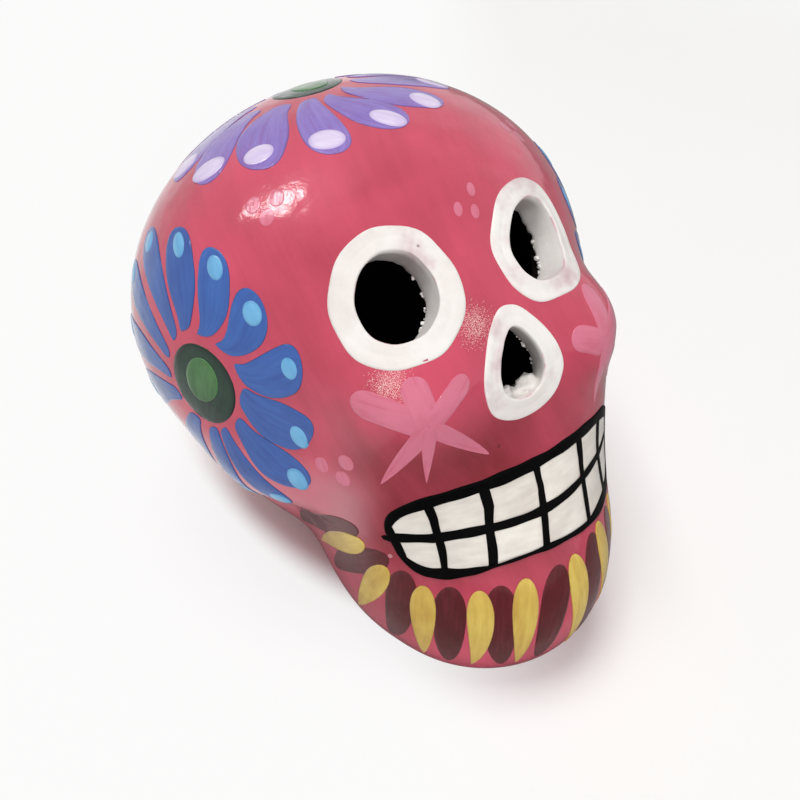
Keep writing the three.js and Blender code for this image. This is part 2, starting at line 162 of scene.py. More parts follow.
@dataclass(frozen=True)
class ClayMass:
    """One ellipsoid of clay: centre, full size, and the lean of its upper end to the back in degrees."""

    centre: Point
    size: Point
    lean: float = 0.0

    def outside(self, points: Array) -> Array:
        """Measures points against the mass.

        Args:
            points: A row for each point.

        Returns:
            About how far each lies outside, negative inside.
        """
        turn = math.radians(self.lean)
        offset = points - np.array(self.centre)
        y = math.cos(turn) * offset[:, 1] - math.sin(turn) * offset[:, 2]
        z = math.sin(turn) * offset[:, 1] + math.cos(turn) * offset[:, 2]
        radii = np.array(self.size) / 2
        share = np.stack([offset[:, 0], y, z], axis=1) / radii
        whole = np.sqrt((share**2).sum(axis=1))
        slope = np.sqrt(((share / radii) ** 2).sum(axis=1))
        return whole * (whole - 1) / np.maximum(slope, 1e-12)


def mass_pair(spread: float, y: float, z: float, size: Point) -> tuple[ClayMass, ClayMass]:
    """Two equal masses either side of the middle."""
    return ClayMass((-spread / 2, y, z), size), ClayMass((spread / 2, y, z), size)


@dataclass(frozen=True)
class SkullForm:
    """The skull's shape: clay masses that flow together, cut flat for the base."""

    masses: tuple[ClayMass, ...] = (
        ClayMass((0, 17.5, 60.2), (102.8, 83.8, 86.4)),
        ClayMass((0, -27, 46.1), (59.6, 24.4, 68.4), 10.4),
        *mass_pair(39.4, -24.2, 67.1, (14.8, 19.8, 10.6)),
        *mass_pair(55.6, -4.8, 44.4, (30.6, 23.4, 14.6)),
        ClayMass((0, -23.6, 18.5), (58.2, 71, 58.6)),
        ClayMass((0, 18.2, 17.5), (62.2, 48.6, 36)),
    )
    blend: float = 6.0
    wall: float = 6.0
    floor: float = 6.0
    foot_round: float = 0.7
    core: Point = (0.0, -3.05, 39.35)

    def outside(self, points: Array) -> Array:
        """Measures points against the blended masses.

        Args:
            points: A row for each point.

        Returns:
            About how far each lies outside, negative inside.
        """
        distances = np.stack([mass.outside(points) for mass in self.masses])
        nearest = distances.min(axis=0)
        return nearest - self.blend * np.log(np.exp((nearest - distances) / self.blend).sum(axis=0))

    def outer(self, points: Array) -> Array:
        """How far points lie outside the body with its flat base."""
        return smooth_most(self.outside(points), -points[:, 2], self.foot_round)

    def inner(self, points: Array) -> Array:
        """How far points lie outside the hollow."""
        return smooth_most(self.outside(points) + self.wall, self.floor - points[:, 2], self.foot_round)

    def cast(self, guides: Array) -> Array:
        """Moves guide points to the surface along rays from the middle of the hollow."""
        core = np.array(self.core)
        return leave(self.outside, core, unit(np.atleast_2d(guides) - core))

    def normal(self, points: Array) -> Array:
        """Outward directions at points on the surface."""
        return outward(self.outside, points)


FORM = SkullForm()


def linear(colour: Colour) -> tuple[float, float, float, float]:
    """A screen colour from 0 to 255 as a linear colour with full alpha."""
    shares = [value / 255 for value in colour]
    return (*(s / 12.92 if s <= 0.04045 else ((s + 0.055) / 1.055) ** 2.4 for s in shares), 1.0)


class Nodes:
    """A short way to fill a node tree."""

    NUMBER_SUMS = ("DISTANCE", "DOT_PRODUCT", "LENGTH")

    def __init__(self, tree: Tree) -> None:
        """Keeps the tree that is filled."""
        self.tree = tree

    def add(self, kind: str, inputs: dict | None = None, **settings: object) -> Node:
        """Adds a node.

        Args:
            kind: The node's type.
            inputs: Values or sockets for its inputs, by name or number.
            **settings: Its other settings.

        Returns:
            The new node.
        """
        node = self.tree.nodes.new(kind)
        for name, value in settings.items():
            setattr(node, name, value)
        for name, value in (inputs or {}).items():
            self.feed(node.inputs[name], value)
        return node

    def feed(self, socket: Socket, value: object) -> None:
        """Links a socket to an input, or sets the input's own value.

        Args:
            socket: The input.
            value: A socket or a plain value.
        """
        if isinstance(value, Socket):
            self.tree.links.new(value, socket)
        else:
            socket.default_value = value

    def math(self, operation: str, first: object, second: object = 0.0, clamp: bool = False) -> Socket:
        """The result of a sum on two numbers."""
        inputs = {0: first, 1: second}
        return self.add("ShaderNodeMath", inputs, operation=operation, use_clamp=clamp).outputs[0]

    def times(self, *values: object) -> Socket:
        """The product of some numbers."""
        return reduce(partial(self.math, "MULTIPLY"), values)

    def plus(self, *values: object) -> Socket:
        """The sum of some numbers."""
        return reduce(partial(self.math, "ADD"), values)

    def vector(self, operation: str, *values: object) -> Socket:
        """The result of a sum on vectors: a number where the sum gives one."""
        node = self.add("ShaderNodeVectorMath", dict(enumerate(values)), operation=operation)
        return node.outputs["Value" if operation in self.NUMBER_SUMS else "Vector"]

    def scaled(self, vector: object, number: object) -> Socket:
        """A vector times a number."""
        return self.add("ShaderNodeVectorMath", {0: vector, "Scale": number}, operation="SCALE").outputs[0]

    def place(self) -> Socket:
        """Where a point lies in the piece's own frame, in metres."""
        return self.add("ShaderNodeTexCoord").outputs["Object"]

    def axes(self, vector: object) -> Sequence[Socket]:
        """The x, y and z of a vector."""
        return self.add("ShaderNodeSeparateXYZ", {0: vector}).outputs

    def away(self, place: object, spot: Point) -> Socket:
        """How many metres a place lies from a spot given in millimetres."""
        return self.vector("DISTANCE", place, tuple(value * MM for value in spot))

    def mix(self, share: object, first: object, second: object) -> Socket:
        """A colour between two others."""
        inputs = {"Factor": share, 6: first, 7: second}
        return self.add("ShaderNodeMix", inputs, data_type="RGBA").outputs[2]

    def tint(self, colour: object, mask: object, weight: float, paint: Colour) -> Socket:
        """A colour with some of a paint laid over it by a mask."""
        return self.mix(self.times(mask, weight), colour, linear(paint))

    def span(
        self, value: object, low: float, high: float, to_low: float = 0.0, to_high: float = 1.0
    ) -> Socket:
        """A value moved smoothly from one span to another."""
        inputs = dict(enumerate((value, low, high, to_low, to_high)))
        return self.add("ShaderNodeMapRange", inputs, interpolation_type="SMOOTHSTEP").outputs[0]

    def noise(self, vector: object, scale: float, detail: float = 3.0, rough: float = 0.55) -> Socket:
        """Soft noise over a vector, from 0 to 1."""
        inputs = {"Vector": vector, "Scale": scale, "Detail": detail, "Roughness": rough}
        return self.add("ShaderNodeTexNoise", inputs).outputs[0]


def node_group(
    kind: str, name: str, inputs: dict[str, float | str], outputs: Sequence[str], sort: str = "Float"
) -> tuple[Nodes, Node, Node]:
    """Starts a node group.

    Args:
        kind: Shader or Geometry.
        name: The group's name.
        inputs: Its inputs, each with a number as default or the name of its sort.
        outputs: The names of its outputs.
        sort: The sort of its outputs.

    Returns:
        The nodes helper, the group's input node and its output node.
    """
    tree = bpy.data.node_groups.new(name, kind + "NodeTree")
    for label, value in inputs.items():
        named = isinstance(value, str)
        socket_type = "NodeSocket" + (value if named else "Float")
        socket = tree.interface.new_socket(label, in_out="INPUT", socket_type=socket_type)
        if not named:
            socket.default_value = value
    for label in outputs:
        tree.interface.new_socket(label, in_out="OUTPUT", socket_type="NodeSocket" + sort)
    nodes = Nodes(tree)
    return nodes, nodes.add("NodeGroupInput"), nodes.add("NodeGroupOutput")


def brush_streaks_group() -> Tree:
    """Streaks that a brush leaves: fine ones along the stroke and a slow change of load.

    Returns:
        A group with a streak and a load from 0 to 1.
    """
    inputs = {"Vector": "Vector", "Across": 9.0, "Along": 1.0}
    nodes, entry, result = node_group("Shader", "brush_streaks", inputs, ("Streak", "Load"))
    vector, across, along = (entry.outputs[label] for label in inputs)
    scale = nodes.add("ShaderNodeCombineXYZ", {0: across, 1: along, 2: 1.0})
    fine = nodes.noise(nodes.vector("MULTIPLY", vector, scale.outputs[0]), 1.0, 4.0, 0.62)
    slow = nodes.noise(vector, 1.7, 2.0, 0.5)
    nodes.feed(result.inputs["Streak"], nodes.span(fine, 0.28, 0.72))
    nodes.feed(result.inputs["Load"], nodes.span(slow, 0.3, 0.7))
    return nodes.tree


def varnish_group() -> Tree:
    """The hand-laid coat of varnish: slow waves, brushed ripples and fine grain.

    Returns:
        A group with a height in metres and a wear from 0 to 1.
    """
    layers = {"Waves": (75.0, 2.0, 0.0006), "Ripples": (420.0, 3.0, 0.00007), "Grain": (2600.0, 2.0, 0.00001)}
    inputs = dict.fromkeys(layers, 1.0)
    nodes, entry, result = node_group("Shader", "varnish_coat", inputs, ("Height", "Wear"))
    place = nodes.place()
    heights = [
        nodes.times(nodes.noise(place, scale, detail), entry.outputs[label], height)
        for label, (scale, detail, height) in layers.items()
    ]
    nodes.feed(result.inputs["Height"], nodes.plus(*heights))
    nodes.feed(result.inputs["Wear"], nodes.span(nodes.noise(place, 190.0, 5.0, 0.7), 0.62, 0.78))
    return nodes.tree


def specks_group() -> Tree:
    """Scattered specks of dust and pinholes, and the painted glints of the varnish.

    Returns:
        A group with a mask from 0 to 1.
    """
    inputs = {"Scale": 260.0, "Size": 0.12, "Share": 0.9}
    nodes, entry, result = node_group("Shader", "specks", inputs, ("Mask",))
    scale, size, clean = (entry.outputs[label] for label in inputs)
    cells = nodes.add("ShaderNodeTexVoronoi", {"Vector": nodes.place(), "Scale": scale, "Randomness": 1.0})
    near = nodes.math("LESS_THAN", cells.outputs["Distance"], size)
    chance = nodes.add("ShaderNodeSeparateColor", {0: cells.outputs["Color"]}).outputs[0]
    nodes.feed(result.inputs["Mask"], nodes.times(near, nodes.math("GREATER_THAN", chance, clean)))
    return nodes.tree


class Effects:
    """The shared shader groups, each built once."""

    def __init__(self) -> None:
        """Builds the groups."""
        self.streaks = brush_streaks_group()
        self.varnish = varnish_group()
        self.specks = specks_group()

    @staticmethod
    def place(nodes: Nodes, group: Tree, inputs: dict[str, object]) -> Node:
        """Places a group in a material, with its input values or sockets."""
        return nodes.add("ShaderNodeGroup", inputs, node_tree=group)


@dataclass(frozen=True)
class Specks:
    """Scattered specks: cells to the metre, size in a cell, share of clean cells, strength and colour."""

    scale: float
    size: float
    clean: float
    weight: float
    tint: Colour

    def over(self, nodes: Nodes, effects: Effects, colour: object, clean: object = None) -> Socket:
        """A colour with the specks laid over it.

        Args:
            nodes: The material's nodes.
            effects: The shared effects.
            colour: The colour under the specks.
            clean: A share of clean cells that changes over the surface.

        Returns:
            The specked colour.
        """
        inputs = {"Scale": self.scale, "Size": self.size, "Share": self.clean if clean is None else clean}
        mask = Effects.place(nodes, effects.specks, inputs).outputs["Mask"]
        return nodes.tint(colour, mask, self.weight, self.tint)


@dataclass(frozen=True)
class Finish:
    """What every finish has: a name, a roughness and a coat of varnish."""

    name: str
    roughness: float = 0.4
    coat: float = 1.0
    coat_roughness: float = 0.1
    coat_bend: float = 1.4
    sheen: float = 0.12
    worn: float = 0.2

    def start(self) -> tuple[Paint, Nodes, Node]:
        """Makes a material with one shader.

        Returns:
            The material, its nodes and the shader.
        """
        material = bpy.data.materials.new(self.name)
        material.use_nodes = True
        nodes = Nodes(material.node_tree)
        shader = next(n for n in material.node_tree.nodes if n.type == "BSDF_PRINCIPLED")
        values = {
            "Coat Weight": self.coat, "Coat Roughness": self.coat_roughness, "Coat IOR": self.coat_bend,
            "Specular IOR Level": self.sheen, "Roughness": self.roughness,
        }
        for label, value in values.items():
            shader.inputs[label].default_value = value
        return material, nodes, shader

    @staticmethod
    def bump(nodes: Nodes, shader: Node, height: object) -> None:
        """Raises a shader's surface, its coat as well.

        Args:
            nodes: The material's nodes.
            shader: The shader.
            height: The height in metres.
        """
        node = nodes.add("ShaderNodeBump", {"Strength": 1.0, "Distance": 1.0, "Height": height})
        nodes.feed(shader.inputs["Normal"], node.outputs[0])
        nodes.feed(shader.inputs["Coat Normal"], node.outputs[0])

    def varnish(
        self, nodes: Nodes, shader: Node, effects: Effects, grain: object = 1.0, relief: object = None
    ) -> None:
        """Lays the shared varnish over a shader.

        Args:
            nodes: The material's nodes.
            shader: The shader.
            effects: The shared effects.
            grain: How strong its fine grain is.
            relief: A height in metres that shows through it.
        """
        inputs = {"Waves": 1.0, "Ripples": 1.0, "Grain": grain}
        height, wear = Effects.place(nodes, effects.varnish, inputs).outputs
        dull = nodes.span(wear, 0.0, 1.0, self.roughness, self.roughness + self.worn)
        nodes.feed(shader.inputs["Roughness"], dull)
        self.bump(nodes, shader, height if relief is None else nodes.plus(height, relief))


@dataclass(frozen=True)
class BodyPaint(Finish):
    """Pink paint brushed over the clay, bare on the underside of the base, with painted shade on the cheeks,
    a painted pale reflection low on the sides and painted glints in two patches.
    """

    light: Colour = (211, 74, 102)
    # deep is the darker pink of the brushwork, and also the painted shade on the cheeks
    deep: Colour = (134, 31, 45)
    # pale is a painted reflection: the varnish's pale haze low on the sides, laid in as colour
    pale: Colour = (214, 138, 150)
    bare: Colour = (176, 112, 84)
    dust: Specks = Specks(210.0, 0.1, 0.93, 0.4, (236, 190, 196))
    pits: Specks = Specks(150.0, 0.07, 0.95, 0.55, (96, 20, 32))
    # Painted glints: near-white specks, strewn thick in the two patches below, stand in for the varnish
    # catching the light.
    painted_glints: Specks = Specks(8200.0, 0.42, 1.0, 0.85, (255, 246, 232))
    patches: tuple[Point, ...] = ((-6.6, -29.2, 79.2), (-25.7, -29.7, 74.1))
    patch_reach: float = 0.0062
    patch_grain: float = 14.0
    temple: Point = (-27.6, 5.4, 94.0)
    temple_grain: float = 1.3

    def build(self, effects: Effects) -> Paint:
        """Builds the material.

        Args:
            effects: The shared effects.

        Returns:
            The material.
        """
        material, nodes, shader = self.start()
        place = nodes.place()
        x, y, z = nodes.axes(place)
        mapping = {"Vector": place, "Rotation": (0.5, 0.35, 0.7), "Scale": (28, 28, 28)}
        turned = nodes.add("ShaderNodeMapping", mapping).outputs[0]
        brushed = Effects.place(nodes, effects.streaks, {"Vector": turned, "Across": 7.0, "Along": 0.8})
        cloud = nodes.span(nodes.noise(place, 38.0), 0.32, 0.7)
        share = nodes.plus(nodes.times(brushed.outputs["Streak"], 0.2), nodes.times(cloud, 0.3))
        # Painted shade: the front of the face about 40 to 58 mm up is darkened towards the deep pink, most on
        # the skull's right, where shade falls under the cheekbones.
        cheeks = nodes.times(
            nodes.span(z, 0.07, 0.058), nodes.span(z, 0.026, 0.04), nodes.span(y, -0.02, -0.032),
            nodes.span(x, 0.006, -0.012, 0.4, 1.0),
        )
        share = nodes.math("ADD", share, nodes.times(cheeks, 0.65), True)
        colour = nodes.mix(share, linear(self.light), linear(self.deep))
        # Painted reflection: pale pink laid over both sides about 34 to 56 mm up, from 35 mm in front of the
        # middle to 4 mm behind it, in place of the varnish's pale reflection there.
        thin = nodes.times(
            nodes.span(z, 0.056, 0.047), nodes.span(z, 0.034, 0.041), nodes.span(y, -0.035, -0.027),
            nodes.span(y, 0.004, -0.01),
        )
        colour = nodes.tint(colour, thin, 0.5, self.pale)
        for specks in (self.dust, self.pits):
            colour = specks.over(nodes, effects, colour)
        ragged = nodes.plus(z, nodes.times(nodes.noise(place, 160.0), 0.0012))
        colour = nodes.mix(nodes.span(ragged, 0.0016, 0.0008), colour, linear(self.bare))
        grain: object = 1.0
        for spot in self.patches:
            near = nodes.math("POWER", nodes.span(nodes.away(place, spot), self.patch_reach, 0.0), 1.6)
            grain = nodes.plus(grain, nodes.times(near, self.patch_grain))
            # Painted glints: the white specks grow thick near each patch.
            clean = nodes.math("SUBTRACT", 1.0, nodes.times(near, 0.9))
            colour = self.painted_glints.over(nodes, effects, colour, clean)
        nodes.feed(shader.inputs["Base Color"], colour)
        near = nodes.span(nodes.away(place, self.temple), 0.009, 0.003, 0.0, self.temple_grain)
        self.varnish(nodes, shader, effects, nodes.plus(grain, near))
        return material


@dataclass(frozen=True)
class InsideShade(Finish):
    """Painted shade inside the hollow: the unpainted clay there is given a near-black colour."""

    deep: Colour = (14, 9, 9)
    light: Colour = (30, 20, 18)

    def build(self) -> Paint:
        """Builds the material.

        Returns:
            The material.
        """
        material, nodes, shader = self.start()
        grain = nodes.noise(nodes.place(), 300.0, 4.0)
        nodes.feed(shader.inputs["Base Color"], nodes.mix(grain, linear(self.deep), linear(self.light)))
        self.bump(nodes, shader, nodes.times(grain, 0.0004))
        return material


@dataclass(frozen=True)
class SlipFinish(Finish):
    """Bare white slip with faint stains and turning marks, with painted shade where the holes' walls face
    down.
    """

    light: Colour = (243, 240, 237)
    shade: Colour = (218, 206, 203)
    stain: Colour = (200, 164, 172)
    # painted shade for the holes' walls
    painted_wall_shade: Colour = (132, 124, 121)
    smear: Colour = (206, 110, 136)
    pits: Specks = Specks(420.0, 0.13, 0.975, 0.6, (120, 84, 84))

    def build(self, effects: Effects) -> Paint:
        """Builds the material.

        Args:
            effects: The shared effects.

        Returns:
            The material.
        """
        material, nodes, shader = self.start()
        place = nodes.place()
        along = nodes.add("ShaderNodeUVMap", uv_map="stroke").outputs[0]
        turned = Effects.place(nodes, effects.streaks, {"Vector": along, "Across": 16.0, "Along": 0.9})
        marks = turned.outputs["Streak"]
        cloud = nodes.span(nodes.noise(place, 70.0, 4.0), 0.4, 0.75)
        share = nodes.plus(nodes.times(marks, 0.1), nodes.times(cloud, 0.55))
        colour = nodes.mix(share, linear(self.light), linear(self.shade))
        blot = nodes.span(nodes.noise(place, 60.0, 4.0, 0.6), 0.52, 0.74, 0.0, 0.8)
        colour = nodes.mix(blot, colour, linear(self.stain))
        # Painted shade: deeper into the hole, and on walls that face down, the slip is darkened.
        inward = nodes.axes(along)[0]
        facing = nodes.axes(nodes.add("ShaderNodeNewGeometry").outputs["Normal"])[2]
        shaded = nodes.times(nodes.span(inward, 0.04, 0.2, 0.0, 0.7), nodes.span(facing, 0.3, -0.5))
        colour = nodes.mix(shaded, colour, linear(self.painted_wall_shade))
        by_lip = nodes.span(nodes.math("ABSOLUTE", inward), 0.035, 0.01)
        line = nodes.times(by_lip, nodes.span(nodes.noise(place, 210.0), 0.46, 0.66))
        colour = nodes.tint(colour, line, 0.5, self.smear)
        nodes.feed(shader.inputs["Base Color"], self.pits.over(nodes, effects, colour))
        height = nodes.times(nodes.noise(place, 700.0, 4.0), 0.00012)
        self.bump(nodes, shader, nodes.plus(height, nodes.times(marks, 0.000012)))
        return material


@dataclass(frozen=True)
class StrokePaint(Finish):
    """Paint laid on in strokes: streaked along the stroke, of another shade at its edge, thin in places."""

    light: Colour = (200, 200, 200)
    deep: Colour = (120, 120, 120)
    edge: Colour = (60, 60, 60)
    edge_share: float = 0.8
    edge_reach: float = 0.3
    across: float = 9.0
    along: float = 0.9
    thin: float = 0.0
    ground: Colour = (190, 60, 82)

    def build(self, effects: Effects) -> Paint:
        """Builds the material.

        Args:
            effects: The shared effects.

        Returns:
            The material.
        """
        material, nodes, shader = self.start()
        stroke = nodes.add("ShaderNodeUVMap", uv_map="stroke").outputs[0]
        rim, tone = (
            nodes.add("ShaderNodeAttribute", attribute_name=label).outputs["Fac"] for label in ("rim", "tone")
        )
        inputs = {"Vector": stroke, "Across": self.across, "Along": self.along}
        streak, load = Effects.place(nodes, effects.streaks, inputs).outputs
        share = nodes.plus(nodes.times(streak, 0.55), nodes.times(load, 0.3))
        share = nodes.math("ADD", share, nodes.times(tone, 0.3), True)
        colour = nodes.mix(share, linear(self.light), linear(self.deep))
        colour = nodes.tint(colour, nodes.span(streak, 0.45, 1.0), self.thin, self.ground)
        gathered = nodes.span(rim, self.edge_reach, 0.02, 0.0, self.edge_share)
        nodes.feed(shader.inputs["Base Color"], nodes.mix(gathered, colour, linear(self.edge)))
        self.varnish(nodes, shader, effects, relief=nodes.times(streak, 0.00003))
        return material


def stroke_paint(
    name: str, light: Colour, deep: Colour, edge: Colour, edge_share: float, **more: object
) -> StrokePaint:
    """A paint with its three shades, the share of the shade at its edge, and what else is its own."""
    return StrokePaint(name, light=light, deep=deep, edge=edge, edge_share=edge_share, **more)


PAINTS = (
    stroke_paint("black_paint", (9, 8, 9), (4, 4, 4), (3, 3, 3), 0.8, coat=0.04, sheen=0.03),
    stroke_paint("tooth_paint", (242, 238, 230), (214, 206, 199), (200, 188, 183), 0.3, across=5.0),
    stroke_paint("blue_paint", (62, 106, 182), (50, 80, 152), (30, 32, 70), 0.85, edge_reach=0.22),
    stroke_paint("sky_paint", (124, 190, 230), (98, 164, 212), (80, 136, 192), 0.5),
    stroke_paint("purple_paint", (152, 132, 204), (124, 100, 180), (96, 64, 126), 0.7, thin=0.12),
    stroke_paint("lilac_paint", (236, 226, 246), (206, 188, 228), (180, 156, 210), 0.5),
    stroke_paint("green_paint", (22, 62, 42), (11, 37, 27), (8, 24, 18), 0.7, edge_reach=0.2),
    stroke_paint("leaf_paint", (78, 126, 72), (50, 92, 50), (94, 158, 90), 0.75, across=6.0),
    stroke_paint("yellow_paint", (228, 202, 102), (196, 158, 70), (160, 114, 54), 0.6, across=7.0),
    stroke_paint(
        "wine_paint", (100, 18, 26), (72, 10, 17), (112, 26, 36), 0.5, thin=0.22, ground=(150, 44, 62)
    ),
    stroke_paint("rose_paint", (217, 122, 147), (209, 109, 134), (211, 106, 131), 0.5, thin=0.2),
)


class Finishes:
    """All the finishes of the skull, with the brushed paints by name."""

    def __init__(self) -> None:
        """Builds each material once."""
        effects = Effects()
        self.paints = {finish.name.removesuffix("_paint"): finish.build(effects) for finish in PAINTS}
        self.body = BodyPaint("pink_paint", coat_bend=1.5).build(effects)
        # Painted shade: the inside of the hollow is near black.
        self.inside = InsideShade("inside_clay", roughness=0.9, coat=0.0).build()
        self.slip = SlipFinish("white_slip", roughness=0.5, coat=0.15, coat_roughness=0.3).build(effects)


def object_from(name: str, points: Array, faces: Sequence[Sequence[int]]) -> Piece:
    """Makes a mesh object at the origin.

    Args:
        name: The piece's name.
        points: Points in millimetres.
        faces: Point numbers of each face.

    Returns:
        The new object, smooth all over.
    """
    mesh = bpy.data.meshes.new(name)
    mesh.from_pydata((np.asarray(points) * MM).tolist(), [], [list(map(int, face)) for face in faces])
    mesh.polygons.foreach_set("use_smooth", np.ones(len(mesh.polygons), bool))
    mesh.update()
    piece = bpy.data.objects.new(name, mesh)
    bpy.context.scene.collection.objects.link(piece)
    return piece


def read(items: bpy.types.bpy_prop_collection, name: str, width: int = 1, kind: type = float) -> Array:
    """Reads one property of all the items of a mesh.

    Args:
        items: The mesh's points, corners or faces.
        name: The property.
        width: How many numbers each item has.
        kind: The sort of number.

    Returns:
        The numbers, with a row for each item where the width is over one.
    """
    values = np.empty(len(items) * width, kind)
    items.foreach_get(name, values)
    return values.reshape(-1, width) if width > 1 else values


def ring_quads(here: int, there: int, count: int) -> list[tuple[int, ...]]:
    """Faces between two rings of points, each numbered from its start."""
    ahead = [(j + 1) % count for j in range(count)]
    return [(here + j, here + k, there + k, there + j) for j, k in enumerate(ahead)]


def flipped(faces: Sequence[tuple[int, ...]]) -> list[tuple[int, ...]]:
    """The same faces seen from the other side, from the same first corner."""
    return [face[:1] + face[:0:-1] for face in faces]


def stopped_tube(name: str, loops: Sequence[Array]) -> Piece:
    """Makes a tube through loops of points, with a cap at each end.

    Args:
        name: The piece's name.
        loops: Loops with the same number of points.

    Returns:
        The closed tube.
    """
    count = len(loops[0])
    last = (len(loops) - 1) * count
    walls = [face for here in range(0, last, count) for face in ring_quads(here, here + count, count)]
    caps = [tuple(range(count))[::-1], tuple(range(last, last + count))]
    return object_from(name, np.concatenate(loops), walls + caps)


def set_stroke(piece: Piece, across_along: Array, rim: Array | None = None, tone: float = 0.5) -> None:
    """Stores where each point lies on its stroke.

    Args:
        piece: The mesh object.
        across_along: Millimetres across and along, a row for each point.
        rim: From 0 at the edge of the stroke to 1 in its middle.
        tone: How deep the piece's own load of paint is, from 0 to 1.
    """
    mesh = piece.data
    corners = read(mesh.loops, "vertex_index", kind=np.int32)
    places = np.asarray(across_along)[corners] / STROKE_UNIT
    layer = mesh.uv_layers.new(name="stroke")
    layer.data.foreach_set("uv", places.astype(np.float32).ravel())
    count = len(mesh.vertices)
    values = {"rim": np.ones(count) if rim is None else rim, "tone": np.full(count, tone)}
    for name, value in values.items():
        layer = mesh.attributes.new(name, "FLOAT", "POINT")
        layer.data.foreach_set("value", np.asarray(value, np.float32))


def settle(piece: Piece, slot: str, *nodes: str) -> None:
    """Hangs a finished piece on the root body and hides the part's nodes that it stands for.

    Args:
        piece: The finished mesh object.
        slot: Not used.
        *nodes: The part's nodes that it stands for.
    """
    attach(piece, "root")
    if nodes:
        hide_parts(*nodes)
    LOG.info("%s: %d faces", piece.name, len(piece.data.polygons))


@dataclass(frozen=True)
class Film:
    """A coat of paint over a grid of surface points: raised in the middle, run out to nothing at its edge."""

    lift: float = 0.16
    bed: float = 0.14
    edge_power: float = 6.0
    drop: float = 0.02

    def build(self, name: str, grid: Array, sizes: Array, finish: Paint, tone: float = 0.5) -> Piece:
        """Builds the film as a closed thin solid.

        Args:
            name: The piece's name.
            grid: Surface points, rows along the stroke by columns across it.
            sizes: Millimetres across and along for each grid point.
            finish: Its paint.
            tone: How deep its load of paint is.

        Returns:
            The film.
        """
        rows, columns = grid.shape[:2]
        flat = grid.reshape(-1, 3)
        out = FORM.normal(flat)
        along = np.abs(np.linspace(-1, 1, rows))[:, None]
        across = np.abs(np.linspace(-1, 1, columns))[None, :]
        near_edge = np.maximum(np.broadcast_to(along, (rows, columns)) ** 3, across).ravel()
        rise = self.lift * np.sqrt(np.clip(1 - near_edge**self.edge_power, 0, 1)) - self.drop
        points = np.concatenate([flat + out * rise[:, None], flat - out * self.bed])
        number = np.arange(rows * columns).reshape(rows, columns)
        quads = np.stack([number[:-1, :-1], number[:-1, 1:], number[1:, 1:], number[1:, :-1]], axis=-1)
        quads = quads.reshape(-1, 4)
        middle = quads[len(quads) // 2]
        sample = flat[middle]
        inward = np.cross(sample[1] - sample[0], sample[3] - sample[0]) @ out[middle[0]] < 0
        border = np.concatenate([number[0, :-1], number[:-1, -1], number[-1, :0:-1], number[:0:-1, 0]])
        ahead = np.roll(border, -1)
        low = len(flat)
        walls = np.stack([border, border + low, ahead + low, ahead], axis=-1)
        faces = np.concatenate([quads, quads[:, ::-1] + low, walls])
        piece = object_from(name, points, faces[:, ::-1] if inward else faces)
        rim = np.concatenate([1 - near_edge, np.zeros(low)])
        set_stroke(piece, np.tile(sizes.reshape(-1, 2), (2, 1)), rim, tone)
        piece.data.materials.append(finish)
        return piece


FILM = Film()


@dataclass(frozen=True)
class Stroke:
    """One stroke of a brush over the surface, from a head to a tail through guide points."""

    guides: tuple[Point, ...]
    width: float
    head: float = 0.3
    tail: float = 0.3
    point: float = 0.0
    rows: int = 24
    columns: int = 11
    samples: int = 60
    end_gap: float = 0.04

    def line(self) -> Array:
        """The stroke's middle line on the surface, evenly spaced.

        Returns:
            Points on the surface, a row for each step.
        """
        guides = np.array(self.guides, float)
        places = run_along(guides)
        if len(guides) > 2:
            bend = np.polyfit(places, guides, 2)
            fine = np.linspace(0, places[-1], self.samples)[:, None]
            path = bend[0] * fine**2 + bend[1] * fine + bend[2]
        else:
            path = guides[0] + (guides[1] - guides[0]) * np.linspace(0, 1, self.samples)[:, None]
        path = FORM.cast(path)
        lengths = run_along(path)
        turn = np.linspace(self.end_gap, math.pi - self.end_gap, self.rows)
        steps = (1 - np.cos(turn)) / 2 * lengths[-1]
        return np.stack([np.interp(steps, lengths, path[:, axis]) for axis in range(3)], axis=1)

    def half_width(self, share: Array) -> Array:
        """Gives half the stroke's width: a round head, and a blunt or pointed tail.

        Args:
            share: Shares of its length.

        Returns:
            Half widths at those shares.
        """
        front = np.clip(1 - share / self.head, 0, 1)
        back = np.clip((share - 1 + self.tail) / self.tail, 0, 1)
        taper = (1 - back ** (2 - 0.6 * self.point)) ** (0.5 + 0.5 * self.point)
        return self.width / 2 * np.sqrt(1 - front**2) * taper

    def grid(self) -> tuple[Array, Array]:
        """Surface points and sizes of the stroke.

        Returns:
            The grid of points, and millimetres across and along for each.
        """
        line = self.line()
        way = unit(np.gradient(line, axis=0))
        side = unit(np.cross(FORM.normal(line), way))
        steps = run_along(line)
        half = self.half_width(steps / steps[-1])
        offsets = half[:, None] * eased(self.columns)[None, :]
        guides = line[:, None, :] + side[:, None, :] * offsets[:, :, None]
        grid = FORM.cast(guides.reshape(-1, 3)).reshape(self.rows, self.columns, 3)
        sizes = np.stack([offsets, np.broadcast_to(steps[:, None], offsets.shape)], axis=-1)
        return grid, sizes + np.array([line[0].sum(), line[0, 0] * 3])

    def paint(
        self, name: str, lift: float, finish: Paint, slot: str = "painted_clay", tone: float = 0.5
    ) -> None:
        """Lays the stroke on the skull as a film of its own."""
        settle(Film(lift=lift).build(name, *self.grid(), finish, tone), slot)


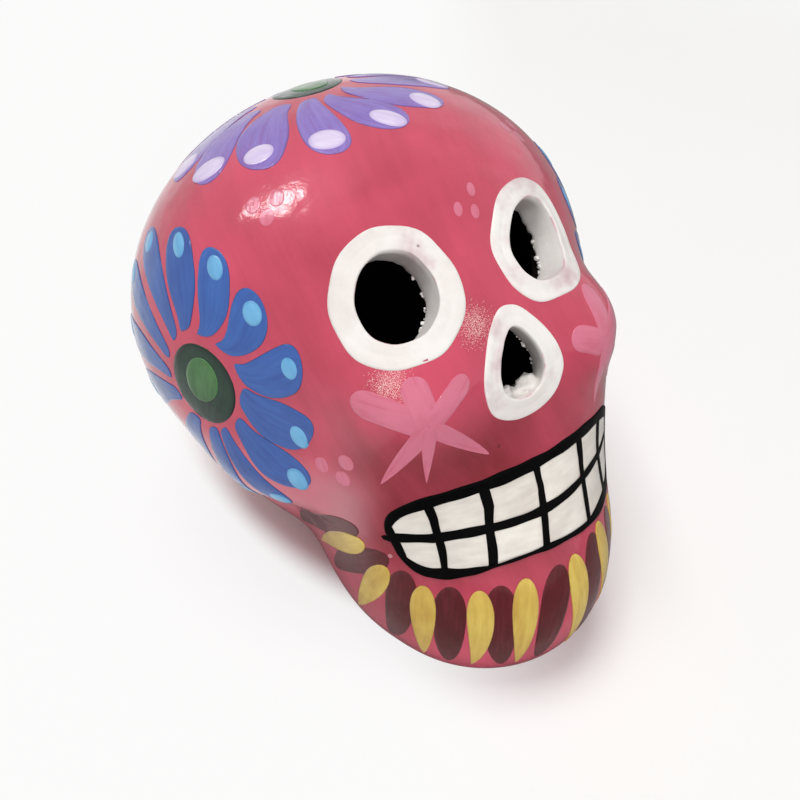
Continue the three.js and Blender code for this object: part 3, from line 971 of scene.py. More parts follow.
@dataclass(frozen=True)
class Opening:
    """An egg-shaped hole in the skull, with the white collar that lines it."""

    node: str
    guide: Point
    width: float
    height: float
    band: float
    taper: float = 0.0
    tilt: float = 0.0
    slant: tuple[float, float] = (0.0, 0.0)
    sink: float = 0.5
    proud: float = 0.36
    groove: float = 0.27
    lip: float = 0.5
    edge: float = 0.6
    depth: float = 6.2
    sleeve: float = 1.4
    overlap: float = 0.06
    uneven: float = 0.36
    uneven_waves: tuple[int, ...] = (3, 4, 6, 9)
    unlevel: float = 0.1
    unlevel_waves: tuple[int, ...] = (3, 5, 8, 13)
    ragged: float = 0.5
    ragged_waves: tuple[int, ...] = (7, 11, 19, 27)
    steps: int = 112

    def axes(self) -> tuple[Array, Array, Array, Array]:
        """Finds how the hole lies.

        Returns:
            Its middle on the surface, its outward axis, and its ways across and up.
        """
        middle = FORM.cast(np.array([self.guide]))
        axis = FORM.normal(middle)[0]
        across = unit(np.cross(UP, axis))
        return middle[0], axis, across, np.cross(axis, across)

    def loop(self, out: Array, rise: Array) -> Array:
        """Points of the egg outline.

        Args:
            out: How far outside the hole, for each step.
            rise: How far above the surface, for each step.

        Returns:
            A row for each step.
        """
        middle, axis, across, up = self.axes()
        turn = circle(self.steps)
        u = (self.width / 2 + out) * np.cos(turn) * (1 - self.taper * np.sin(turn))
        v = (self.height / 2 + out) * np.sin(turn)
        tilt = math.radians(self.tilt)
        u, v = math.cos(tilt) * u - math.sin(tilt) * v, math.sin(tilt) * u + math.cos(tilt) * v
        starts = middle - 3 * FORM.wall * axis + u[:, None] * across + v[:, None] * up
        lean = across * self.slant[0] + up * self.slant[1]
        points = leave(FORM.outside, starts, np.broadcast_to(axis, starts.shape), 60.0)
        return points + axis * rise[:, None] + lean * np.maximum(-rise, 0)[:, None]

    def plug(self) -> Piece:
        """Builds a solid that fills the hole and its sleeve, to cut them out of the wall.

        Returns:
            The solid.
        """
        flat = np.zeros(self.steps)
        out = flat + self.sleeve - self.overlap
        levels = (FORM.wall, 0.0, -2 * FORM.wall)
        return stopped_tube(self.node + "_plug", [self.loop(out, flat + rise) for rise in levels])

    def profile(self) -> Array:
        """Draws the collar's rounded section.

        Returns:
            Distance outside the hole and rise above the surface, a row for each corner.
        """
        corners = np.array([
            (self.band, -self.sink), (self.band, self.proud * 0.6), (self.band - 0.7, self.proud),
            (self.band * 0.68, self.proud), (self.band * 0.5, self.groove),
            (self.band * 0.34, self.proud * 1.1), (self.edge, self.lip), (0.12, self.lip * 0.8), (0.0, -0.1),
            (0.0, -self.depth * 0.5), (0.1, -self.depth), (self.sleeve, -self.depth),
            (self.sleeve, -self.sink),
        ])
        for _ in range(2):
            ahead = np.roll(corners, -1, axis=0)
            cut = [0.75 * corners + 0.25 * ahead, 0.25 * corners + 0.75 * ahead]
            corners = np.stack(cut, axis=1).reshape(-1, 2)
        return corners

    def wobble(self, seed: int, size: float, waves: Sequence[int]) -> Array:
        """Gives unevenness round the hole, from a few waves with fixed random phases.

        Args:
            seed: Fixes the phases.
            size: The most that it can be.
            waves: How often each wave goes round.

        Returns:
            A number for each step.
        """
        random = np.random.default_rng(seed)
        turn = circle(self.steps)
        return size * sum(np.sin(wave * turn + random.uniform(0, PHASE)) for wave in waves) / len(waves)

    def build(self, finish: Paint, seed: int) -> None:
        """Builds the collar, in place of its node.

        Args:
            finish: Its slip.
            seed: Fixes its unevenness.
        """
        section = self.profile()
        around = self.wobble(seed, self.uneven, self.uneven_waves)
        level = self.wobble(seed + 1, self.unlevel, self.unlevel_waves)
        ragged = self.wobble(seed + 2, self.ragged, self.ragged_waves)
        run = run_along(section)
        run -= run[np.argmin(np.abs(section[:, 0] - 0.1) + 10 * (section[:, 1] < 0))]
        turn, loops, sizes = circle(self.steps), [], []
        for place, (out, rise) in zip(run, section):
            deep = np.clip((-rise - self.depth * 0.7) / (self.depth * 0.3), 0, 1)
            raised = rise + (level if rise > 0 else 0) + ragged * deep
            loops.append(self.loop(out + around * (0.4 + 0.6 * out / self.band), raised))
            sizes.append(np.stack([np.full(self.steps, place), turn * (self.width / 2 + out)], axis=1))
        count, steps = len(loops), self.steps
        faces = [face for i in range(count) for face in ring_quads(i * steps, (i + 1) % count * steps, steps)]
        piece = object_from(self.node + "_collar", np.concatenate(loops), faces)
        face_outwards(piece)
        set_stroke(piece, np.concatenate(sizes))
        piece.data.materials.append(finish)
        settle(piece, "white_slip", self.node)

    def inner_edge(self, start: float, end: float, depth: float, count: int) -> Array:
        """Places on an arc of the sleeve, where crumbs of slip hang.

        Args:
            start: Where the arc begins, in degrees from the way across.
            end: Where it ends.
            depth: Their share of the sleeve's depth.
            count: How many places.

        Returns:
            Points along the arc, unevenly spaced.
        """
        random = np.random.default_rng(count)
        ring = self.loop(np.full(self.steps, 0.3), np.full(self.steps, -self.depth * depth))
        shares = np.sort((random.uniform(0, 1, count) + random.choice([0.2, 0.5, 0.85], count)) / 2)
        places = (start + (end - start) * shares) / 360 * self.steps
        whole = np.floor(places).astype(int)
        part = (places - whole)[:, None]
        return ring[whole % self.steps] * (1 - part) + ring[(whole + 1) % self.steps] * part


def face_outwards(piece: Piece) -> None:
    """Turns a closed mesh so that its faces point out of it.

    Args:
        piece: The mesh object.
    """
    mesh = piece.data
    mesh.calc_loop_triangles()
    corners = read(mesh.loop_triangles, "vertices", 3, np.int32)
    a, b, c = read(mesh.vertices, "co", 3)[corners].transpose(1, 0, 2)
    if np.einsum("ij,ij->", a, np.cross(b, c)) < 0:
        mesh.flip_normals()


def plain_mesh(piece: Piece) -> None:
    """Gives an object the mesh that its modifiers make, and removes them.

    Args:
        piece: The mesh object.
    """
    graph = bpy.context.evaluated_depsgraph_get()
    mesh = bpy.data.meshes.new_from_object(piece.evaluated_get(graph), depsgraph=graph)
    piece.modifiers.clear()
    piece.data = mesh


@dataclass
class HollowBody:
    """The hollow clay body: two painted halves, pierced for the collars and the base hole."""

    openings: tuple[Opening, ...]
    seam: float = 6.0
    base_hole: float = 22.0
    base_hole_forward: float = 13.0
    spokes: int = 264
    rings: int = 112
    inner_rings: int = 36
    drill_steps: int = 72
    drill_reach: float = 5.0
    skin_near: float = 0.08
    lining_near: float = 0.4
    facing: float = 0.6

    def rays(self, half: Half, surface: Surface, rings: int) -> Array:
        """Surface points of one half, ring by ring from its pole to the seam.

        Args:
            half: Which half.
            surface: The outer or the inner surface.
            rings: How many rings, with the pole as none.

        Returns:
            The pole, then the points of each ring.
        """
        core = np.array(FORM.core)
        turn = circle(self.spokes)
        spread = np.stack([np.cos(turn), np.zeros(self.spokes), np.sin(turn)], axis=1)
        seam = leave(surface, np.array([0.0, self.seam, core[2]]), spread)
        edge = np.arccos(np.clip(unit(seam - core) @ FRONT, -1, 1))
        pole = FRONT if half is Half.FACE else -FRONT
        first = 0.0 if half is Half.FACE else math.pi
        shares = np.arange(1, rings + 1)[:, None] / rings
        angles = first + (edge[None, :] - first) * shares
        ways = FRONT * np.cos(angles)[..., None] + spread[None] * np.sin(angles)[..., None]
        points = leave(surface, core, np.concatenate([pole[None], ways.reshape(-1, 3)]))
        points[-self.spokes:] = seam
        return points

    def skin(self, rings: int, start: int) -> list[tuple[int, ...]]:
        """Makes the faces over a pole and its rings.

        Args:
            rings: How many rings.
            start: The pole's number.

        Returns:
            Point numbers of each face.
        """
        count = self.spokes
        faces = [(start, start + 1 + j, start + 1 + (j + 1) % count) for j in range(count)]
        for ring in range(rings - 1):
            here = start + 1 + ring * count
            faces += flipped(ring_quads(here, here + count, count))
        return faces

    def base_drill(self) -> Piece:
        """Builds a round plug through the base.

        Returns:
            The plug.
        """
        turn = circle(self.drill_steps)
        ring = np.stack([np.cos(turn), np.sin(turn), np.zeros(len(turn))], axis=1) * self.base_hole / 2
        middle = ring + np.array([0, -self.base_hole_forward, 0])
        ends = [middle - [0, 0, self.drill_reach], middle + [0, 0, 2 * FORM.floor]]
        return stopped_tube("base_drill", ends)

    def build_half(self, half: Half, finishes: Finishes) -> None:
        """Builds one half as a closed wall, cut for its holes, in place of its node.

        Args:
            half: Which half.
            finishes: The paints.
        """
        outer = self.rays(half, FORM.outer, self.rings)
        inner = self.rays(half, FORM.inner, self.inner_rings)
        outside = self.skin(self.rings, 0)
        inside = [face[::-1] for face in self.skin(self.inner_rings, len(outer))]
        rim, lining = len(outer) - self.spokes, len(outer) + len(inner) - self.spokes
        wall = flipped(ring_quads(rim, lining, self.spokes))
        piece = object_from(half.value + "_shell", np.concatenate([outer, inner]), outside + inside + wall)
        face_outwards(piece)
        if half is Half.FACE:
            cutters = [opening.plug() for opening in self.openings] + [self.base_drill()]
            for cutter in cutters:
                face_outwards(cutter)
                cut = piece.modifiers.new(cutter.name, "BOOLEAN")
                cut.operation, cut.solver, cut.object = "DIFFERENCE", "MANIFOLD", cutter
            plain_mesh(piece)
            for cutter in cutters:
                bpy.data.objects.remove(cutter)
        self.dress(piece, finishes)
        settle(piece, "painted_clay", half.value)

    def dress(self, piece: Piece, finishes: Finishes) -> None:
        """Gives a half its paint outside and the near-black painted shade of the hollow inside, and shades it
        by the true surface.

        Args:
            piece: The half.
            finishes: The paints.
        """
        mesh = piece.data
        mesh.materials.clear()
        mesh.materials.append(finishes.body)
        mesh.materials.append(finishes.inside)
        points = read(mesh.vertices, "co", 3) / MM
        corners = read(mesh.loops, "vertex_index", kind=np.int32)
        totals = read(mesh.polygons, "loop_total", kind=np.int32)
        owner = np.repeat(np.arange(len(totals)), totals)
        face_way = read(mesh.polygons, "normal", 3)[owner]
        true_way, hollow_way = outward(FORM.outer, points)[corners], -outward(FORM.inner, points)[corners]
        on_skin = (np.abs(FORM.outer(points)) < self.skin_near)[corners]
        on_skin &= row_dots(face_way, true_way) > self.facing
        on_lining = (np.abs(FORM.inner(points)) < self.lining_near)[corners]
        on_lining &= row_dots(face_way, hollow_way) > self.facing
        ways = np.where(on_skin[:, None], true_way, np.where(on_lining[:, None], hollow_way, face_way))
        painted = np.zeros(len(totals), bool)
        np.logical_or.at(painted, owner, on_skin)
        # Faces off the painted skin take the hollow's near-black painted shade.
        mesh.polygons.foreach_set("material_index", np.where(painted, 0, 1).astype(np.int32))
        mesh.polygons.foreach_set("use_smooth", np.ones(len(totals), bool))
        mesh.normals_split_custom_set(ways.tolist())
        mesh.update()


@dataclass
class Mouth:
    """The mouth: a black grid of brush lines over two rows of painted teeth."""

    widths: tuple[float, ...] = (7.8, 9.7, 10.3, 11.3, 7.3, 7.2)
    upper_height: float = 8.4
    lower_height: float = 6.4
    lower_sag: float = 3.4
    level: float = 43.4
    droop: float = 3.0
    end_round: float = 0.94
    end_power: float = 6.0
    lip: float = 2.4
    low_lip: float = 0.8
    low_lip_share: float = 0.3
    low_lip_fade: float = 0.45
    line: float = 1.9
    bite: float = -0.5
    bite_rise: float = 1.2
    bite_rise_share: float = 0.72
    bite_rise_span: float = 0.24
    corner_drop: float = 0.6
    leans: tuple[float, ...] = (-1.4, -2.9, -3.5, -3.0, -0.6)
    lean_top: float = 3.0
    lean_span: float = 9.0
    lean_most: float = 1.2
    bolds: tuple[float, ...] = (1.1, 1.3, 1.0, 0.9, 0.9)
    lift: float = 0.26
    wander: float = 0.22
    bite_wander: float = 0.16
    upright_sway: float = 0.3
    wave_lengths: tuple[float, ...] = (1.3, 2.9, 6.1)
    bite_half: float = 0.72
    bite_thinning: float = 0.37
    bite_least: float = 0.55
    nib: float = 2.6
    nib_half: float = 0.9
    seed: int = 11

    def teeth_width(self) -> float:
        """Width of a row with the lines between its teeth."""
        return sum(self.widths) + (len(self.widths) - 1) * self.line

    def half_width(self) -> float:
        """Half the mouth's width with its outline."""
        return self.teeth_width() / 2 + self.lip

    def start(self, column: int) -> float:
        """Where a tooth begins, along the mouth."""
        return sum(self.widths[:column]) + column * self.line - self.teeth_width() / 2

    def bite_level(self, along: Array) -> Array:
        """Gives the height of the line between the rows, which rises at the corners.

        Args:
            along: Places along the mouth.

        Returns:
            A height for each place.
        """
        share = np.abs(along) / self.half_width()
        rise = np.clip((share - self.bite_rise_share) / self.bite_rise_span, 0, 1)
        return self.bite + self.bite_rise * rise

    def lip_width(self, along: Array, row: Row) -> Array:
        """Gives the width of the outline: even above, thin under the middle of the lower teeth.

        Args:
            along: Places along the mouth.
            row: Which row.

        Returns:
            A width for each place.
        """
        share = (np.abs(along) / self.half_width() - self.low_lip_share) / self.low_lip_fade
        share = np.clip(share, 0, 1)
        low = self.low_lip + (self.lip - self.low_lip) * share**2 * (3 - 2 * share)
        return low if row is Row.LOWER else np.full_like(low, self.lip)

    def height(self, along: Array, row: Row) -> Array:
        """Gives the height of a row with its outline.

        Args:
            along: Places along the mouth.
            row: Which row.

        Returns:
            A height for each place.
        """
        share = np.abs(along) / self.half_width()
        sag = self.lower_sag * (1 - np.cos(math.pi * share)) / 2
        full = self.upper_height if row is Row.UPPER else self.lower_height + sag
        return full * np.sqrt(np.clip(1 - self.end_round * share**self.end_power, 0.02, 1))

    def point(self, along: Array, up: Array) -> Array:
        """Surface points of the mouth.

        Args:
            along: Millimetres along the curve of the jaw.
            up: Millimetres above the biting line.

        Returns:
            Points of the same shape, with a last axis of three.
        """
        shape = np.broadcast(along, up).shape
        along, up = (np.broadcast_to(value, shape).ravel().astype(float) for value in (along, up))
        lines = [self.start(column) - self.line / 2 for column in range(1, len(self.widths))]
        ends = [-self.half_width(), *lines, self.half_width()]
        below = np.clip((self.lean_top - up) / self.lean_span, 0, self.lean_most)
        along = along + np.interp(along, ends, [0, *self.leans, 0]) * below
        share = np.minimum(np.abs(along) / self.half_width(), 1)
        starts = np.zeros((len(along), 3))
        starts[:, 1] = FORM.core[1]
        starts[:, 2] = self.level - self.droop * share**2 - self.corner_drop * share**8 + up
        front = leave(FORM.outside, starts, np.broadcast_to(FRONT, starts.shape))
        turn = along / np.linalg.norm(front - starts, axis=1)
        ways = np.stack([np.sin(turn), -np.cos(turn), np.zeros(len(turn))], axis=1)
        return leave(FORM.outside, starts, ways).reshape(*shape, 3)

    def tooth(self, column: int, row: Row, finish: Paint) -> None:
        """Builds one tooth, in place of its node. It reaches under the lines round it.

        Args:
            column: Its number from the skull's right, from 0.
            row: Its row.
            finish: Its paint.
        """
        under = self.line * 0.4
        start, width = self.start(column) - under, self.widths[column] + 2 * under
        along = np.linspace(start, start + width, 14)[None, :]
        root = self.height(along, row) - self.lip_width(along, row) * 0.6
        near = self.line / 2 - under + row.value * self.bite_level(along)
        up = row.value * (near + (root - near) * np.linspace(0, 1, 10)[:, None])
        sizes = np.stack([up, np.broadcast_to(along, up.shape)], axis=-1)
        name = f"tooth_{row.name.lower()}_{column + 1}"
        tone = (0.37 * column + (0.5 if row is Row.LOWER else 0)) % 1
        piece = FILM.build(name + "_paint", self.point(along, up), sizes, finish, tone)
        settle(piece, "tooth_paint", name)

    def between(self, along: Array, inset: float, share: Array) -> Array:
        """Heights from the foot of the lower row to the top of the upper one, short of both by an inset."""
        low, high = (row.value * (self.height(along, row) - inset) for row in (Row.LOWER, Row.UPPER))
        return low + (high - low) * share

    def lines(self, finish: Paint) -> None:
        """Builds the black grid as lines laid over each other, in place of its node.

        Args:
            finish: Its paint.
        """
        random = np.random.default_rng(self.seed)
        film = Film(lift=self.lift)
        far = self.half_width()
        parts: list[Piece] = []

        def wave(places: Array, size: float) -> Array:
            """A hand's unevenness along a line."""
            waves = (np.sin(places / length + random.uniform(0, PHASE)) for length in self.wave_lengths)
            return size * sum(waves) / len(self.wave_lengths)

        def lay(name: str, along: Array, up: Array, wide: bool = True) -> None:
            """Lays one line over the mouth.

            Args:
                name: Its name.
                along: Places along the mouth.
                up: Heights above the biting line.
                wide: Whether it runs along the mouth, not up it.
            """
            along, up = np.broadcast_arrays(along, up)
            sizes = np.stack([up, along] if wide else [along, up], axis=-1)
            parts.append(film.build(name, self.point(along, up), sizes, finish))

        across, sweep = eased(7)[None, :], eased(90)[:, None] * far
        for row in Row:
            outer, lip = self.height(sweep, row), self.lip_width(sweep, row)
            half = lip / 2 + wave(sweep, self.wander)
            lay("lip", sweep, row.value * (outer - lip / 2 + half * across))
        half = np.clip(self.bite_half - self.bite_thinning * sweep / far, self.bite_least, 1.0)
        half = half + wave(sweep, self.bite_wander)
        lay("bite", sweep * 0.995, self.bite_level(sweep) + half * across)
        for side in Side:
            nib = side.value * (far - 1 + self.nib * np.linspace(0, 1, 12)[:, None])
            taper = self.nib_half * np.sqrt(np.linspace(1, 0.02, 12)[:, None]) * across
            lay("nib", nib, self.bite_level(nib) + taper)
            along = far - self.lip * (1 - across) / 2
            up = self.between(along, 0.25, np.linspace(0, 1, 24)[:, None])
            lay("corner", side.value * along, up, False)
        share = np.linspace(0, 1, 30)[:, None]
        for column, bold in enumerate(self.bolds, start=1):
            middle = self.start(column) - self.line / 2
            up = self.between(np.array([middle]), 0.3, share)
            half = self.line / 2 * bold * (0.8 + 0.3 * share)
            along = middle + (half + wave(up, self.wander)) * across + wave(up, self.upright_sway)
            lay("upright", along, up, False)
        settle(joined("mouth_line_paint", parts), "black_paint", "mouth_line")

    def build(self, finishes: Finishes) -> None:
        """Builds the teeth and the grid over them.

        Args:
            finishes: The paints.
        """
        for row in Row:
            for column in range(len(self.widths)):
                self.tooth(column, row, finishes.paints["tooth"])
        self.lines(finishes.paints["black"])


def joined(name: str, parts: Sequence[Piece]) -> Piece:
    """Joins mesh objects into one.

    Args:
        name: The new piece's name.
        parts: Mesh objects with the same layers and finish.

    Returns:
        The joined object.
    """
    with bpy.context.temp_override(active_object=parts[0], selected_editable_objects=list(parts)):
        bpy.ops.object.join()
    piece = parts[0]
    piece.name = piece.data.name = name
    return piece


@dataclass(frozen=True)
class Petal:
    """One brushed petal: bearing in degrees and distance of its root and its tip, its width and its bow."""

    root: tuple[float, float]
    tip: tuple[float, float]
    width: float
    bow: float = 2.0
    neck: float = 0.35
    shoulder: float = 0.65
    swell_power: float = 1.4
    cap_power: float = 2.8
    blunt: float = 0.07
    bow_scale: float = 2.83
    bow_power: float = 1.2

    def ends(self) -> tuple[Array, Array]:
        """Places the petal's ends in the flat of the flower.

        Returns:
            The root and the tip.
        """
        spots = ((math.radians(bearing), distance) for bearing, distance in (self.root, self.tip))
        root, tip = (distance * np.array([math.cos(turn), math.sin(turn)]) for turn, distance in spots)
        return root, tip

    def place(self, share: Array, side: Array) -> Array:
        """Places over the petal, in the flat of the flower.

        Args:
            share: How far from the root to the tip, from 0 to 1.
            side: From -1 at one edge to 1 at the other.

        Returns:
            Places of the same shape, with a last axis of two.
        """
        root, tip = self.ends()
        way = tip - root
        sideways = np.array([-way[1], way[0]]) / np.linalg.norm(way)
        opening = np.sin(math.pi / 2 * np.minimum(share / self.shoulder, 1)) ** self.swell_power
        swell = self.neck + (1 - self.neck) * opening
        cap = np.sqrt(1 - np.clip((share - self.shoulder) / (1 - self.shoulder), 0, 1) ** self.cap_power)
        blunt = np.sqrt(np.clip(1 - (1 - np.minimum(share / self.blunt, 1)) ** 2, 0.02, 1))
        bend = self.bow * self.bow_scale * np.sqrt(share) * (1 - share) ** self.bow_power
        aside = side * self.width / 2 * swell * cap * blunt - bend
        return root + way * share[..., None] + sideways * aside[..., None]


@dataclass
class Flower:
    """A painted flower: an oval centre, a leaf-green dab on it and petals that fan out."""

    name: str
    guide: Point
    upward: Array
    petals: tuple[Petal, ...]
    paint: str
    slot: str
    mirror: bool = False
    centre: tuple[float, float] = (15.0, 15.0)
    centre_drop: float = 0.0
    tip_size: tuple[float, float] = (2.5, 1.8)
    tip_inset: float = 2.7
    tip_way: float = 140.0
    tip_sway: float = 8.0
    dab: tuple[tuple[float, float], ...] = ((-0.9, 4.8), (0.1, -3.9))
    dab_width: float = 7.7
    rows: int = 30
    columns: int = 13
    centre_steps: int = 25
    lift: float = 0.15
    lift_step: float = 0.015
    uneven: float = 0.05

    def point(self, bearing: Array, distance: Array) -> Array:
        """Surface points round the flower.

        Args:
            bearing: Radians from the flower's own level.
            distance: Millimetres from its middle.

        Returns:
            Points of the same shape, with a last axis of three.
        """
        core = np.array(FORM.core)
        middle = FORM.cast(np.array([self.guide]))[0] - core
        way = unit(middle)
        across = unit(np.cross(self.upward, way))
        up = np.cross(way, across)
        shape = np.broadcast(bearing, distance).shape
        bearing, distance = (np.broadcast_to(value, shape).ravel() for value in (bearing, distance))
        turn = distance / np.linalg.norm(middle)
        rays = way * np.cos(turn)[:, None] + np.sin(turn)[:, None] * (
            across * np.cos(bearing)[:, None] + up * np.sin(bearing)[:, None]
        )
        points = leave(FORM.outside, core, rays)
        if self.mirror:
            points[:, 0] *= -1
        return points.reshape(*shape, 3)

    def flat(self, places: Array) -> Array:
        """Surface points over places in the flat of the flower."""
        x, y = places[..., 0], places[..., 1]
        return self.point(np.arctan2(y, x), np.hypot(x, y))

    def petal(self, number: int, finish: Paint) -> None:
        """Builds one petal, in place of its node.

        Args:
            number: Its place in the flower, from 0.
            finish: Its paint.
        """
        random = np.random.default_rng(100 * len(self.name) + number)
        petal = self.petals[number]
        share = (1 - np.cos(np.linspace(0.05, math.pi - 0.05, self.rows)))[:, None] / 2
        uneven = 1 + self.uneven * np.sin(7 * share + random.uniform(0, PHASE))
        share, sides = np.broadcast_arrays(share, eased(self.columns)[None, :] * uneven)
        length = np.linalg.norm(petal.ends()[1] - petal.ends()[0])
        sizes = np.stack([sides * petal.width / 2 + 7 * number, share * length], axis=-1)
        name = f"petal_{self.name}_{number + 1:02d}"
        film = Film(lift=self.lift + self.lift_step * (number % 3))
        places = self.flat(petal.place(share, sides))
        piece = film.build(name + "_paint", places, sizes, finish, random.uniform(0, 1))
        settle(piece, self.slot, name)

    def heart(self, finish: Paint) -> None:
        """Builds the dark green centre, in place of its node.

        Args:
            finish: Its paint.
        """
        across = np.linspace(-1, 1, self.centre_steps)
        u, v = np.meshgrid(across, across, indexing="ij")
        x, y = u * np.sqrt(1 - v**2 / 2), v * np.sqrt(1 - u**2 / 2)
        sizes = np.stack([x, y], axis=-1) * np.array(self.centre) / 2
        lower = sizes - np.array([0, self.centre_drop])
        piece = FILM.build(f"flower_centre_{self.name}_paint", self.flat(lower), sizes, finish)
        rim = 1 - np.hypot(x, y).ravel()
        values = np.concatenate([rim, np.zeros(rim.size)]).astype(np.float32)
        piece.data.attributes["rim"].data.foreach_set("value", values)
        settle(piece, "green_paint", f"flower_centre_{self.name}")

    def tips(self) -> tuple[Array, Array, Array]:
        """Places the pale ovals at the petals' tips.

        Returns:
            Their places, ways and half sizes.
        """
        random = np.random.default_rng(500 + len(self.name))
        places, ways, sizes = [], [], []
        for petal in self.petals:
            root, tip = petal.ends()
            share = 1 - self.tip_inset * random.uniform(0.9, 1.1) / np.linalg.norm(tip - root)
            spot = petal.place(np.array(share), np.array(random.uniform(-0.15, 0.05)))
            turn = math.radians(self.tip_way + random.uniform(-self.tip_sway, self.tip_sway))
            step = 0.5 * np.array([math.cos(turn), math.sin(turn)])
            ends = self.flat(np.stack([spot - step, spot + step]))
            places.append(FORM.cast(ends.mean(axis=0))[0])
            ways.append(unit(ends[1] - ends[0]))
            size = np.array(self.tip_size) * random.uniform(0.88, 1.12, 2)
            sizes.append(size * min(1, 0.3 + petal.width / 9))
        return np.array(places), np.array(ways), np.array(sizes)

    def build(self, finishes: Finishes) -> None:
        """Builds the centre, its dab and the petals.

        Args:
            finishes: The paints.
        """
        self.heart(finishes.paints["green"])
        for number in range(len(self.petals)):
            self.petal(number, finishes.paints[self.paint])
        guides = tuple(map(tuple, self.flat(np.array(self.dab))))
        stroke = Stroke(guides, self.dab_width, head=0.5, tail=0.5)
        stroke.paint(f"flower_dab_{self.name}", 0.3, finishes.paints["leaf"], "green_paint")


def coated(nodes: Nodes, mesh: object, finish: object, result: Node) -> None:
    """Ends a geometry node tree: the mesh is shaded smooth, given its finish and put out.

    Args:
        nodes: The tree's nodes.
        mesh: The mesh.
        finish: Its finish.
        result: The tree's output node.
    """
    smooth = nodes.add("GeometryNodeSetShadeSmooth", {0: mesh})
    coat = nodes.add("GeometryNodeSetMaterial", {"Geometry": smooth.outputs[0], "Material": finish})
    nodes.feed(result.inputs[0], coat.outputs[0])


def grow(piece: Piece, tree: Tree, values: dict[str, object]) -> None:
    """Runs a geometry node tree on a piece and keeps what it makes as a plain mesh.

    Args:
        piece: The object that carries the points.
        tree: The tree.
        values: Its inputs by name.
    """
    modifier = piece.modifiers.new("grow", "NODES")
    modifier.node_group = tree
    for item in tree.interface.items_tree:
        if item.name in values:
            modifier[item.identifier] = values[item.name]
    plain_mesh(piece)
    while piece.data.uv_layers:
        piece.data.uv_layers.remove(piece.data.uv_layers[0])


@dataclass
class Dabs:
    """Small ovals of paint, placed by geometry nodes on points that carry their directions and size."""

    name: str
    finish: Paint
    slot: str
    places: Array
    ways: Array
    sizes: Array
    height: float = 0.34

    def tree(self) -> Tree:
        """Builds the node tree that sets an oval on every point.

        Returns:
            The tree, with inputs for the ovals' height and paint.
        """
        inputs = {"Points": "Geometry", "Height": "Float", "Paint": "Material"}
        nodes, entry, result = node_group("Geometry", self.name + "_nodes", inputs, ("Dabs",), "Geometry")
        points, height, paint = (entry.outputs[label] for label in inputs)
        out, along, size = (
            nodes.add("GeometryNodeInputNamedAttribute", {"Name": label}, data_type="FLOAT_VECTOR").outputs[0]
            for label in ("out", "along", "size")
        )
        align = "FunctionNodeAlignRotationToVector"
        upright = nodes.add(align, {"Vector": out}, axis="Z").outputs[0]
        lying = nodes.add(align, {"Rotation": upright, "Vector": along}, axis="X", pivot_axis="Z").outputs[0]
        length, width, _ = nodes.axes(size)
        scale = nodes.add("ShaderNodeCombineXYZ", {0: length, 1: width, 2: height}).outputs[0]
        oval = nodes.add("GeometryNodeMeshUVSphere", {"Segments": 28, "Rings": 14, "Radius": 1.0}).outputs[0]
        placing = {"Points": points, "Instance": oval, "Rotation": lying, "Scale": scale}
        placed = nodes.add("GeometryNodeInstanceOnPoints", placing)
        real = nodes.add("GeometryNodeRealizeInstances", {0: placed.outputs[0]})
        coated(nodes, real.outputs[0], paint, result)
        return nodes.tree

    def build(self) -> None:
        """Builds the ovals as one plain mesh."""
        piece = object_from(self.name, self.places, [])
        out = FORM.normal(self.places)
        sizes = np.concatenate([self.sizes, np.zeros((len(self.sizes), 1))], axis=1) * MM
        layers = {"out": out, "along": self.ways, "size": sizes}
        for label, value in layers.items():
            layer = piece.data.attributes.new(label, "FLOAT_VECTOR", "POINT")
            layer.data.foreach_set("vector", value.astype(np.float32).ravel())
        grow(piece, self.tree(), {"Height": self.height * MM, "Paint": self.finish})
        points = read(piece.data.vertices, "co", 3) / MM
        for label in [label for label in layers if label in piece.data.attributes]:
            piece.data.attributes.remove(piece.data.attributes[label])
        owner = np.arange(len(points)) // max(len(points) // len(self.places), 1)
        offset = points - self.places[owner]
        side = np.cross(out, self.ways)[owner]
        across, along = row_dots(offset, side), row_dots(offset, self.ways[owner])
        reach = np.hypot(along / self.sizes[owner, 0], across / self.sizes[owner, 1])
        set_stroke(piece, np.stack([across + 5 * owner, along], axis=1), np.clip(1 - reach, 0, 1))
        settle(piece, self.slot)


